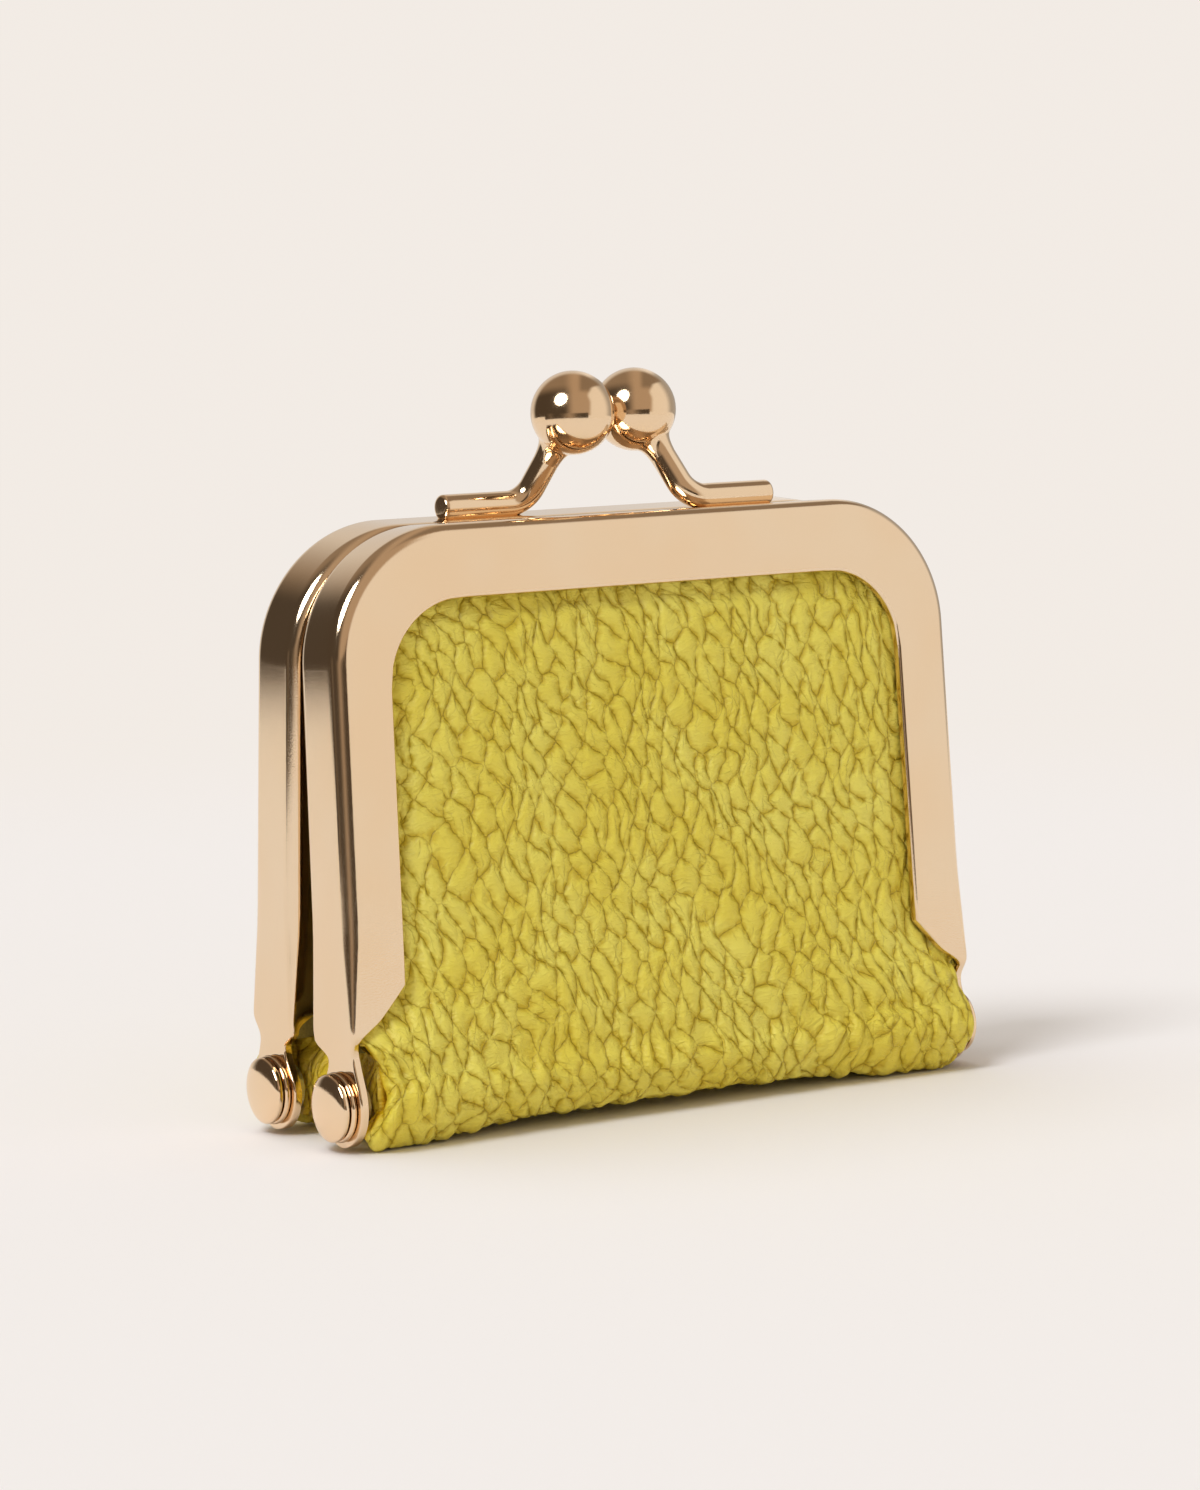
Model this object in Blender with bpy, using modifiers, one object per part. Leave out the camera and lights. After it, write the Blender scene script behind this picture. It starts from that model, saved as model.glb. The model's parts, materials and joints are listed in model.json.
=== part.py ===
"""A small kiss-lock jewelry pouch: two arched metal frames on rivets around a leather pocket.

The front half is modelled once. The rear half is the same half turned half a turn about Z,
which is how the two clasp balls come to pass each other.
World frame: +Z up, the front face looks along -Y, and the origin is the middle of the base.
"""

import math

import bmesh
import bpy
from mathutils import Matrix, Vector

MM = 0.001

# The gap that touching pieces keep, and a reach past the whole object for what cuts them.
GAP = 0.3 * MM
CUT_REACH = 50.0 * MM
WELD_DISTANCE = 0.001 * MM

# Frame: a pressed channel that follows an arch. Heights are measured from the hinge axis.
SHEET = 0.9 * MM
FRAME_HALF_WIDTH = 40.0 * MM
FRAME_HEIGHT = 59.9 * MM
FRAME_CORNER_RADIUS = 14.4 * MM
SIDE_TAPER = 0.016
FACE_WIDTH_SIDE = 6.9 * MM
FACE_WIDTH_TOP = 7.86 * MM
FACE_INNER_RADIUS = 8.9 * MM
BACK_FLANGE_WIDTH = 4.6 * MM
EDGE_ROLL_RADIUS = 1.06 * MM
CHANNEL_DEPTH_TOP = 7.72 * MM
CHANNEL_DEPTH_GROWTH = 0.0125
FACE_TO_HINGE = 4.04 * MM
FLANGE_END_HEIGHT = 6.8 * MM
FLANGE_CORNER_HEIGHT = 12.4 * MM
WEB_FOOT_HEIGHT = 5.6 * MM
SLANT_STUB = 0.1 * MM
SLANT_OVERRUN = 1.0 * MM

# Tang: the ear that each leg of a frame ends in, set in from the channel's side.
TANG_INSET = 0.4 * MM
EAR_RADIUS = 4.3 * MM
NECK_HALF_WIDTH = 3.1 * MM
NECK_HEIGHT = 5.4 * MM
TANG_OVERLAP = 3.0 * MM

# Hinge: two rivets a side, joined behind the leather by a link plate.
HINGE_HALF_SPACING = 7.0 * MM
EAR_ABOVE_FLOOR = 0.4 * MM
SHANK_RADIUS = 1.3 * MM
HEAD_RADIUS = 3.57 * MM
HEAD_RIM = 0.35 * MM
HEAD_DOME = 0.85 * MM
HEAD_GAP = 0.2 * MM
TAIL_RADIUS = 1.9 * MM
TAIL_THICKNESS = 0.5 * MM
WASHER_RADIUS = 3.7 * MM
WASHER_THICKNESS = 0.45 * MM
SPACER_RADIUS = 2.6 * MM
SPACER_THICKNESS = 1.0 * MM
LINK_HALF_HEIGHT = 2.7 * MM
LINK_THICKNESS = 1.0 * MM

# Clasp: a bent rod on each frame with a ball on its end.
ROD_RADIUS = 1.42 * MM
ROD_SUNK = 0.26 * MM
ROD_FOOT_X = 18.9 * MM
ROD_CORNER_X = 8.3 * MM
ROD_BEND_RADIUS = 2.4 * MM
ROD_SET_IN = 4.14 * MM
BALL_RADIUS = 4.55 * MM
BALL_PASS_GAP = 0.2 * MM
BALL_STAGGER = 0.99 * MM
BALL_RISE = 10.73 * MM
BALL_SEGMENTS = 24
BALL_RINGS = 14

# Leather, lining and stiffeners.
LEATHER = 1.4 * MM
PANEL_SWELL = 0.9 * MM
PANEL_ROLL_OUT = 2.0 * MM
PANEL_EDGE_INSET = 1.9 * MM
PANEL_ABOVE_BASE = 0.4 * MM
PANEL_ROLL_TOP = 20.0 * MM
PANEL_EDGE_ZONE = 3.5 * MM
FLANGE_CLEARANCE = 1.4 * MM
SWELL_WIDTH = 8.0 * MM
PANEL_ROWS = 9
PANEL_COLUMNS = 14
BOARD = 0.8 * MM
BOARD_INSET = 2.6 * MM
BOARD_ABOVE_BASE = 2.3 * MM
BOARD_CORNER = 6.0 * MM
LINING = 0.6 * MM
LINING_ABOVE_BASE = 0.6 * MM

# Base: a leather trough with a stiff board and a lining, closed by a gusset at each end.
BASE_WALL_RISE = 2.6 * MM
BASE_PAST_GUSSET = 0.1 * MM
GUSSET = 1.2 * MM
GUSSET_DIP = 1.2 * MM
GUSSET_BELOW_FLANGE = 1.1 * MM
GUSSET_RUNNING_GAP = 0.5 * MM
GUSSET_LINING_INSET = 0.4 * MM
BASE_BOARD = 1.0 * MM
BASE_BOARD_PAST_HINGE = 0.8 * MM
BASE_LINING_PAST_HINGE = 2.2 * MM

# How finely the round shapes are cut up.
ARC_STEPS = 10
INNER_ARC_STEPS = 8
CORNER_STEPS = 5
ROLL_STEPS = 4
EAR_STEPS = 22
HOLE_SIDES = 16
BEND_STEPS = 8
DOME_STEPS = 9
ROUND_STEPS = 28
ROD_BEVEL = 4
CORD_BEVEL = 1
SHARP_ANGLE = math.radians(35)

# Places that follow from the sizes above.
HINGE_HEIGHT = EAR_RADIUS + EAR_ABOVE_FLOOR
BACK_TO_HINGE = CHANNEL_DEPTH_TOP - FACE_TO_HINGE
LEAN = math.asin((HINGE_HALF_SPACING - BACK_TO_HINGE - GAP / 2) / FRAME_HEIGHT)
ROD_SEAT = ROD_RADIUS - ROD_SUNK
BALL_HALF_SPACING = BALL_RADIUS + BALL_PASS_GAP / 2
BALL_HEIGHT = HINGE_HEIGHT + FRAME_HEIGHT + BALL_RISE
TANG_TOP = FLANGE_END_HEIGHT + TANG_OVERLAP
TANG_OUTER_X = FRAME_HALF_WIDTH - TANG_INSET
TANG_INNER_X = TANG_OUTER_X - SHEET
SPACER_X = TANG_INNER_X - GAP - SPACER_THICKNESS
GUSSET_X = SPACER_X - GAP - GUSSET
LINK_X = GUSSET_X - GAP - LINK_THICKNESS
TAIL_X = LINK_X - GAP - TAIL_THICKNESS
GUSSET_LINING_X = TAIL_X - GAP - LINING
WASHER_X = TANG_OUTER_X + GAP
HEAD_X = WASHER_X + WASHER_THICKNESS + HEAD_GAP
HOLE_RADIUS = SHANK_RADIUS + GAP
PANEL_DEPTH = SHEET + GAP
BOARD_DEPTH = PANEL_DEPTH + LEATHER + GAP
LINING_DEPTH = BOARD_DEPTH + BOARD + GAP
PACKING_FRONT = LINING_DEPTH + LINING + GAP
PACKING_BACK = CHANNEL_DEPTH_TOP - SHEET - GAP
PACKING_RADIUS = (PACKING_BACK - PACKING_FRONT) / 2
PACKING_DEPTH = PACKING_FRONT + PACKING_RADIUS
PACKING_FOOT = TANG_TOP + PACKING_RADIUS + GAP
PANEL_FOOT = BASE_WALL_RISE + PANEL_ABOVE_BASE
BASE_RADIUS = HINGE_HEIGHT
BASE_INNER_RADIUS = BASE_RADIUS - LEATHER
LINING_FOOT = BASE_RADIUS + LINING_ABOVE_BASE
BOARD_FOOT = BASE_RADIUS + BOARD_ABOVE_BASE
SWEEP_RADIUS = BASE_RADIUS + GAP
BASE_HALF_LENGTH = GUSSET_X + GUSSET + BASE_PAST_GUSSET
GUSSET_TOP = HINGE_HEIGHT + FLANGE_END_HEIGHT - GUSSET_BELOW_FLANGE
LINING_BEHIND_HINGE = LINING_DEPTH + LINING - FACE_TO_HINGE
LINING_LEAN = math.sin(LEAN) * (GUSSET_TOP - HINGE_HEIGHT)
GUSSET_HALF_DEPTH = HINGE_HALF_SPACING - LINING_BEHIND_HINGE - LINING_LEAN - GUSSET_RUNNING_GAP
INNER_FLOOR = LEATHER + GAP
LINING_FLOOR = INNER_FLOOR + BASE_BOARD + GAP

for old in list(bpy.data.objects):
    bpy.data.objects.remove(old, do_unlink=True)

parts = bpy.data.collections.new("jewelry_pouch")
cutters = bpy.data.collections.new("cutters")
bpy.context.scene.collection.children.link(parts)
bpy.context.scene.collection.children.link(cutters)


def make_material(name, color, roughness, metallic=0.0):
    material = bpy.data.materials.new(name)
    material.use_nodes = True
    shader = material.node_tree.nodes["Principled BSDF"]
    shader.inputs["Base Color"].default_value = (*color, 1.0)
    shader.inputs["Roughness"].default_value = roughness
    shader.inputs["Metallic"].default_value = metallic
    return material


FRAME_GOLD = make_material("frame_gold", (0.82, 0.60, 0.42), 0.18, 1.0)
CLASP_GOLD = make_material("clasp_gold", (0.84, 0.62, 0.42), 0.10, 1.0)
RIVET_GOLD = make_material("rivet_gold", (0.83, 0.60, 0.42), 0.14, 1.0)
LIME_LEATHER = make_material("lime_leather", (0.62, 0.56, 0.08), 0.45)
SUEDE_LINING = make_material("suede_lining", (0.52, 0.46, 0.16), 0.9)
STIFF_BOARD = make_material("stiff_board", (0.36, 0.33, 0.28), 0.9)
PAPER_CORD = make_material("paper_cord", (0.72, 0.66, 0.52), 0.95)
LINK_STEEL = make_material("link_steel", (0.62, 0.60, 0.56), 0.3, 1.0)


def add_object(name, data, material):
    """A visible sub-part with its own copy of a finish."""
    obj = bpy.data.objects.new(name, data)
    finish = material.copy()
    finish.name = name + "_finish"
    data.materials.clear()
    data.materials.append(finish)
    parts.objects.link(obj)
    return obj


def settle(obj):
    """Makes the object the plain welded mesh that its curve or modifiers give."""
    bpy.context.view_layer.update()
    graph = bpy.context.evaluated_depsgraph_get()
    mesh = bpy.data.meshes.new_from_object(obj.evaluated_get(graph))
    name = obj.name
    bpy.data.objects.remove(obj, do_unlink=True)
    mesh.name = name
    weld_mesh(mesh)
    return mesh


def weld_mesh(mesh):
    work = bmesh.new()
    work.from_mesh(mesh)
    bmesh.ops.remove_doubles(work, verts=work.verts, dist=WELD_DISTANCE)
    bmesh.ops.recalc_face_normals(work, faces=work.faces)
    work.to_mesh(mesh)
    work.free()


def plate_mesh(name, outlines, thickness, axis):
    """A flat sheet cut to the first outline, with the others as holes, its low face at 0 on the axis.

    An outline is a list of pairs: (y, z) for the X axis, (x, z) for Y and (x, y) for Z.
    """
    curve = bpy.data.curves.new(name, "CURVE")
    curve.dimensions = "2D"
    curve.fill_mode = "BOTH"
    curve.extrude = thickness / 2
    for outline in outlines:
        spline = curve.splines.new("POLY")
        spline.points.add(len(outline) - 1)
        spline.use_cyclic_u = True
        for point, (u, v) in zip(spline.points, outline):
            point.co = (u, v, 0.0, 1.0)
    guide = bpy.data.objects.new(name, curve)
    parts.objects.link(guide)
    mesh = settle(guide)
    turn = {
        "X": Matrix(((0, 0, 1, thickness / 2), (1, 0, 0, 0), (0, 1, 0, 0), (0, 0, 0, 1))),
        "Y": Matrix(((1, 0, 0, 0), (0, 0, -1, thickness / 2), (0, 1, 0, 0), (0, 0, 0, 1))),
        "Z": Matrix.Translation((0, 0, thickness / 2)),
    }[axis]
    mesh.transform(turn)
    return mesh


def turned_mesh(name, profile, closed=False):
    """A profile of (radius, place along the axis) turned about X. A closed profile makes a ring."""
    mesh = bpy.data.meshes.new(name)
    points = [(radius, 0.0, along) for radius, along in profile]
    edges = [(i, i + 1) for i in range(len(points) - 1)]
    if closed:
        edges.append((len(points) - 1, 0))
    mesh.from_pydata(points, edges, [])
    blank = bpy.data.objects.new(name, mesh)
    parts.objects.link(blank)
    screw = blank.modifiers.new("turn", "SCREW")
    screw.axis = "Z"
    screw.steps = ROUND_STEPS
    screw.render_steps = ROUND_STEPS
    screw.use_merge_vertices = True
    screw.merge_threshold = WELD_DISTANCE
    mesh = settle(blank)
    mesh.transform(Matrix.Rotation(math.pi / 2, 4, "Y"))
    return smooth_shaded(mesh)


def smooth_shaded(mesh):
    """The mesh shaded smooth except across its sharp edges."""
    mesh.shade_smooth()
    mesh.set_sharp_from_angle(angle=SHARP_ANGLE)
    return mesh


def cutter(name, mesh):
    obj = bpy.data.objects.new(name, mesh)
    obj.hide_render = True
    obj.display_type = "WIRE"
    cutters.objects.link(obj)
    return obj


def combine(mesh, tool, operation):
    """The mesh after one Boolean with the tool object."""
    blank = bpy.data.objects.new(mesh.name, mesh)
    parts.objects.link(blank)
    boolean = blank.modifiers.new(tool.name, "BOOLEAN")
    boolean.operation = operation
    boolean.object = tool
    return settle(blank)


def shifted(mesh, x=0.0, y=0.0, z=0.0):
    mesh.transform(Matrix.Translation((x, y, z)))
    return mesh


def arc(centre, radius, start, end, steps=ARC_STEPS):
    """Points of an arc from one angle to another, in degrees, both ends included."""
    angles = [math.radians(start + (end - start) * i / steps) for i in range(steps + 1)]
    return [(centre[0] + radius * math.cos(a), centre[1] + radius * math.sin(a)) for a in angles]


def ramp(value):
    """A smooth step from 0 to 1."""
    value = min(1.0, max(0.0, value))
    return value * value * (3.0 - 2.0 * value)


# Hinge axes: everything on a frame is modelled from its own axis and then leaned to the other frame.
front_axis = bpy.data.objects.new("front_hinge_axis", None)
front_axis.location = (0.0, -HINGE_HALF_SPACING, HINGE_HEIGHT)
front_axis.rotation_euler = (-LEAN, 0.0, 0.0)
rear_axis = bpy.data.objects.new("rear_hinge_axis", None)
rear_axis.location = (0.0, HINGE_HALF_SPACING, HINGE_HEIGHT)
rear_axis.rotation_euler = (-LEAN, 0.0, math.pi)
for axis_empty in (front_axis, rear_axis):
    axis_empty.empty_display_size = EAR_RADIUS
    parts.objects.link(axis_empty)
bpy.context.view_layer.update()


def hang_on_both(name, mesh, material):
    """The piece on the front frame and its twin on the rear one."""
    for side, axis_empty in (("front", front_axis), ("rear", rear_axis)):
        copy = mesh if side == "front" else mesh.copy()
        obj = add_object(f"{side}_{name}", copy, material)
        obj.parent = axis_empty


def set_at_both_ends(name, mesh, material):
    """The piece at the right end of the base and its twin, turned half round, at the left."""
    for side, turn in (("right", 0.0), ("left", math.pi)):
        copy = mesh if side == "right" else mesh.copy()
        obj = add_object(f"{side}_{name}", copy, material)
        obj.rotation_euler.z = turn


def set_on_rivets(name, mesh, material):
    """One of the piece on each of the four hinge points, pointing outwards."""
    places = (
        ("front_right", -1, 0.0),
        ("front_left", -1, math.pi),
        ("rear_right", 1, 0.0),
        ("rear_left", 1, math.pi),
    )
    for place, side, turn in places:
        obj = add_object(f"{place}_{name}", mesh.copy(), material)
        obj.location = (0.0, side * HINGE_HALF_SPACING, HINGE_HEIGHT)
        obj.rotation_euler.z = turn


def side_x(height, inset=0.0):
    """Where the frame's outer side is at a height, less an inset."""
    return FRAME_HALF_WIDTH - SIDE_TAPER * (height - FLANGE_CORNER_HEIGHT) - inset


def arch_line(inset, radius, foot, top=FRAME_HEIGHT, steps=ARC_STEPS):
    """An arch set in from the frame's outside: left foot, left corner, right corner, right foot."""
    crown = top - inset
    centre_z = crown - radius
    centre_x = side_x(centre_z, inset) - radius
    left = [(-side_x(foot, inset), foot)]
    left += arc((-centre_x, centre_z), radius, 180, 90, steps)
    return left + [(-x, z) for x, z in reversed(left)]


def channel_depth(height):
    return CHANNEL_DEPTH_TOP + CHANNEL_DEPTH_GROWTH * (FRAME_HEIGHT - height)


def channel_section(outer, inner, depth):
    """The channel's closed section at one station of the arch, as points in space."""
    outer_point = Vector((outer[0], 0.0, outer[1]))
    inward = Vector((inner[0] - outer[0], 0.0, inner[1] - outer[1]))
    face_width = inward.length
    inward.normalize()
    roll = EDGE_ROLL_RADIUS
    front_roll = arc((roll, roll), roll, 270, 180, ROLL_STEPS)
    back_roll = arc((roll, depth - roll), roll, 180, 90, ROLL_STEPS)
    section = [(face_width, SHEET), (face_width, 0.0)] + front_roll + back_roll
    section += [
        (BACK_FLANGE_WIDTH, depth),
        (BACK_FLANGE_WIDTH, depth - SHEET),
        (SHEET, depth - SHEET),
        (SHEET, SHEET),
    ]
    face = Vector((0.0, -FACE_TO_HINGE, 0.0))
    return [outer_point + inward * m + face + Vector((0.0, n, 0.0)) for m, n in section]


def loft_mesh(name, rings):
    """A closed solid through rings of like point counts, capped at both ends.

    The channel is wider across the top than down the sides and deeper at the foot, so no single
    profile can be swept along the arch.
    """
    count = len(rings[0])
    points = [point for ring in rings for point in ring]
    faces = []
    for i in range(len(rings) - 1):
        for j in range(count):
            k = (j + 1) % count
            faces.append((i * count + j, i * count + k, (i + 1) * count + k, (i + 1) * count + j))
    faces.append(tuple(range(count)))
    last = (len(rings) - 1) * count
    faces.append(tuple(range(last + count - 1, last - 1, -1)))
    mesh = bpy.data.meshes.new(name)
    mesh.from_pydata(points, [], faces)
    weld_mesh(mesh)
    return mesh


def tang_outline():
    """The ear, its neck and the part that runs up inside the channel, as (y, z) about the hinge."""
    neck_angle = math.degrees(math.acos(NECK_HALF_WIDTH / EAR_RADIUS))
    ear = arc((0.0, 0.0), EAR_RADIUS, 180 - neck_angle, 360 + neck_angle, EAR_STEPS)
    right = [(NECK_HALF_WIDTH, NECK_HEIGHT), (NECK_HALF_WIDTH, TANG_TOP)]
    return ear + right + [(-y, z) for y, z in reversed(right)]


def hole_outline(centre_y=0.0, centre_z=0.0):
    return arc((centre_y, centre_z), HOLE_RADIUS, 0, 360, HOLE_SIDES)[:-1]


def build_frame():
    outer = arch_line(0.0, FRAME_CORNER_RADIUS, WEB_FOOT_HEIGHT)
    inner_top = FRAME_HEIGHT - FACE_WIDTH_TOP
    inner = arch_line(FACE_WIDTH_SIDE, FACE_INNER_RADIUS, WEB_FOOT_HEIGHT, inner_top + FACE_WIDTH_SIDE)
    rings = [channel_section(a, b, channel_depth(a[1])) for a, b in zip(outer, inner)]
    mesh = loft_mesh("frame", rings)
    # The flanges stop short of the ears on a slant.
    slant_foot_x = side_x(FLANGE_END_HEIGHT) - SHEET - SLANT_STUB
    slant_top_x = side_x(FLANGE_CORNER_HEIGHT) - FACE_WIDTH_SIDE - SLANT_OVERRUN
    slope = (FLANGE_CORNER_HEIGHT - FLANGE_END_HEIGHT) / (FACE_WIDTH_SIDE - SHEET)
    slant_top = FLANGE_END_HEIGHT + slope * (slant_foot_x - slant_top_x)
    half = [(slant_foot_x, 0.0), (slant_foot_x, FLANGE_END_HEIGHT), (slant_top_x, slant_top)]
    outline = half + [(-x, z) for x, z in reversed(half)]
    slant = shifted(plate_mesh("flange_ends", [outline], 2 * CUT_REACH, "Y"), y=-CUT_REACH)
    mesh = combine(mesh, cutter("flange_ends", slant), "DIFFERENCE")
    for x in (TANG_INNER_X, -TANG_OUTER_X):
        tang = shifted(plate_mesh("tang", [tang_outline(), hole_outline()], SHEET, "X"), x=x)
        mesh = combine(mesh, cutter("tang", tang), "UNION")
    return smooth_shaded(mesh)


def rod_points(ball):
    """The rod's middle line from its free end, round its elbow and up to the ball."""
    set_in = ROD_SET_IN - FACE_TO_HINGE
    seat = FRAME_HEIGHT + ROD_SEAT
    foot = Vector((ROD_FOOT_X, set_in, seat))
    corner = Vector((ROD_CORNER_X, set_in, seat))
    along = (corner - foot).normalized()
    up = (ball - corner).normalized()
    turn = math.acos(max(-1.0, min(1.0, along.dot(up))))
    setback = ROD_BEND_RADIUS * math.tan(turn / 2)
    centre = corner + (up - along).normalized() * ROD_BEND_RADIUS / math.cos(turn / 2)
    start = corner - along * setback
    axis = along.cross(up).normalized()
    bend = []
    for i in range(BEND_STEPS + 1):
        step = Matrix.Rotation(turn * i / BEND_STEPS, 3, axis)
        bend.append(centre + step @ (start - centre))
    return [foot] + bend + [ball]


def build_rod(ball):
    curve = bpy.data.curves.new("clasp_post", "CURVE")
    curve.dimensions = "3D"
    curve.bevel_depth = ROD_RADIUS
    curve.bevel_resolution = ROD_BEVEL
    curve.use_fill_caps = True
    spline = curve.splines.new("POLY")
    route = rod_points(ball)
    spline.points.add(len(route) - 1)
    for point, place in zip(spline.points, route):
        point.co = (*place, 1.0)
    guide = bpy.data.objects.new("clasp_post", curve)
    parts.objects.link(guide)
    mesh = settle(guide)
    # The rod is soldered down on a narrow flat and cupped where it meets its ball.
    below = rectangle(-CUT_REACH, -CUT_REACH, CUT_REACH, CUT_REACH)
    flat = shifted(plate_mesh("rod_flat", [below], CUT_REACH, "Z"), z=FRAME_HEIGHT + GAP - CUT_REACH)
    mesh = combine(mesh, cutter("rod_flat", flat), "DIFFERENCE")
    cup = ball_mesh("ball_cup", BALL_RADIUS + GAP, ball)
    mesh = combine(mesh, cutter("ball_cup", cup), "DIFFERENCE")
    return smooth_shaded(mesh)


def ball_mesh(name, radius, centre):
    mesh = bpy.data.meshes.new(name)
    work = bmesh.new()
    bmesh.ops.create_uvsphere(work, u_segments=BALL_SEGMENTS, v_segments=BALL_RINGS, radius=radius)
    work.to_mesh(mesh)
    work.free()
    mesh.transform(Matrix.Translation(centre))
    mesh.shade_smooth()
    return mesh


def leather_surface(x, height):
    """How far behind the face plane the panel's outer surface lies."""
    aside = abs(x)
    opening = side_x(height, FACE_WIDTH_SIDE)
    crown = FRAME_HEIGHT - FACE_WIDTH_TOP
    swell = ramp((opening - aside) / SWELL_WIDTH) * ramp((crown - height) / SWELL_WIDTH)
    swell *= ramp((height - PANEL_FOOT) / PANEL_ROLL_TOP)
    roll_top = PANEL_ROLL_TOP
    if aside > opening - PANEL_EDGE_ZONE:
        flange_end = FLANGE_END_HEIGHT + side_x(height, SHEET) - aside
        roll_top = min(roll_top, flange_end - FLANGE_CLEARANCE)
    roll_out = ramp((roll_top - height) / (roll_top - PANEL_FOOT))
    return PANEL_DEPTH - PANEL_SWELL * swell - PANEL_ROLL_OUT * roll_out


def build_panel():
    """Front leather: an open surface swelling out of the frame and rolling out over the base."""
    radius = FRAME_CORNER_RADIUS - PANEL_EDGE_INSET
    centre_z = FRAME_HEIGHT - PANEL_EDGE_INSET - radius
    centre_x = side_x(centre_z, PANEL_EDGE_INSET) - radius
    rows = []
    for i in range(PANEL_ROWS):
        height = PANEL_FOOT + (centre_z - PANEL_FOOT) * (i / PANEL_ROWS) ** 2
        rows.append((height, side_x(height, PANEL_EDGE_INSET)))
    rows += [(z, x) for x, z in arc((centre_x, centre_z), radius, 0, 90, CORNER_STEPS)]
    points = []
    for height, half_width in rows:
        for i in range(PANEL_COLUMNS + 1):
            x = half_width * math.sin(math.pi / 2 * (2 * i / PANEL_COLUMNS - 1))
            points.append((x, leather_surface(x, height) - FACE_TO_HINGE, height))
    faces = []
    for i in range(len(rows) - 1):
        for j in range(PANEL_COLUMNS):
            corner = i * (PANEL_COLUMNS + 1) + j
            above = corner + PANEL_COLUMNS + 1
            faces.append((corner, corner + 1, above + 1, above))
    mesh = bpy.data.meshes.new("panel")
    mesh.from_pydata(points, [], faces)
    sheet = bpy.data.objects.new("panel", mesh)
    parts.objects.link(sheet)
    thick = sheet.modifiers.new("leather", "SOLIDIFY")
    thick.thickness = LEATHER
    thick.offset = -1.0
    mesh = settle(sheet)
    # The panel's foot is hollowed to swing round the rounded base.
    sweep_line = [(0, CUT_REACH), (SWEEP_RADIUS, CUT_REACH), (SWEEP_RADIUS, -CUT_REACH), (0, -CUT_REACH)]
    sweep = turned_mesh("base_sweep", sweep_line)
    mesh = combine(mesh, cutter("base_sweep", sweep), "DIFFERENCE")
    return smooth_shaded(mesh)


def build_lining():
    inset = PANEL_EDGE_INSET
    line = arch_line(inset, FRAME_CORNER_RADIUS - inset, LINING_FOOT, steps=INNER_ARC_STEPS)
    return shifted(plate_mesh("lining", [line], LINING, "Y"), y=LINING_DEPTH - FACE_TO_HINGE)


def build_board():
    top = FRAME_HEIGHT - FACE_WIDTH_TOP - BOARD_INSET
    half_width = side_x(top, FACE_WIDTH_SIDE + BOARD_INSET)
    corner = (half_width - BOARD_CORNER, top - BOARD_CORNER)
    right = [(half_width, BOARD_FOOT)] + arc(corner, BOARD_CORNER, 0, 90, CORNER_STEPS)
    line = right + [(-x, z) for x, z in reversed(right)]
    return shifted(plate_mesh("board", [line], BOARD, "Y"), y=BOARD_DEPTH - FACE_TO_HINGE)


def build_packing():
    inset = SHEET + GAP + PACKING_RADIUS
    curve = bpy.data.curves.new("packing_cord", "CURVE")
    curve.dimensions = "3D"
    curve.bevel_depth = PACKING_RADIUS
    curve.bevel_resolution = CORD_BEVEL
    curve.use_fill_caps = True
    route = arch_line(inset, FRAME_CORNER_RADIUS - inset, PACKING_FOOT, steps=INNER_ARC_STEPS)
    spline = curve.splines.new("POLY")
    spline.points.add(len(route) - 1)
    for point, (x, z) in zip(spline.points, route):
        point.co = (x, PACKING_DEPTH - FACE_TO_HINGE, z, 1.0)
    guide = bpy.data.objects.new("packing_cord", curve)
    parts.objects.link(guide)
    return settle(guide)


def base_section(radius, rise, steps=ARC_STEPS):
    """The round-bottomed trough line from the front lip, under the base and up to the rear lip."""
    lip_angle = math.degrees(math.asin(rise / radius))
    front = arc((-HINGE_HALF_SPACING, HINGE_HEIGHT), radius, 180 - lip_angle, 270, steps)
    return front + [(-y, z) for y, z in reversed(front)]


def build_base_leather():
    outer = base_section(BASE_RADIUS, BASE_WALL_RISE)
    inner = base_section(BASE_INNER_RADIUS, BASE_WALL_RISE)
    mesh = plate_mesh("base_leather", [outer + inner[::-1]], 2 * BASE_HALF_LENGTH, "X")
    return shifted(mesh, x=-BASE_HALF_LENGTH)


def build_gusset():
    lower = base_section(BASE_INNER_RADIUS - GAP, BASE_WALL_RISE)
    fold = (0.0, GUSSET_TOP - GUSSET_DIP)
    outline = lower + [(GUSSET_HALF_DEPTH, GUSSET_TOP), fold, (-GUSSET_HALF_DEPTH, GUSSET_TOP)]
    holes = [hole_outline(side * HINGE_HALF_SPACING, HINGE_HEIGHT) for side in (-1, 1)]
    return shifted(plate_mesh("gusset", [outline] + holes, GUSSET, "X"), x=GUSSET_X)


def build_link():
    right = arc((HINGE_HALF_SPACING, HINGE_HEIGHT), LINK_HALF_HEIGHT, -90, 90)
    left = arc((-HINGE_HALF_SPACING, HINGE_HEIGHT), LINK_HALF_HEIGHT, 90, 270)
    holes = [hole_outline(side * HINGE_HALF_SPACING, HINGE_HEIGHT) for side in (-1, 1)]
    return shifted(plate_mesh("hinge_link", [right + left] + holes, LINK_THICKNESS, "X"), x=LINK_X)


def rectangle(low_u, low_v, high_u, high_v):
    return [(low_u, low_v), (high_u, low_v), (high_u, high_v), (low_u, high_v)]


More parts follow.
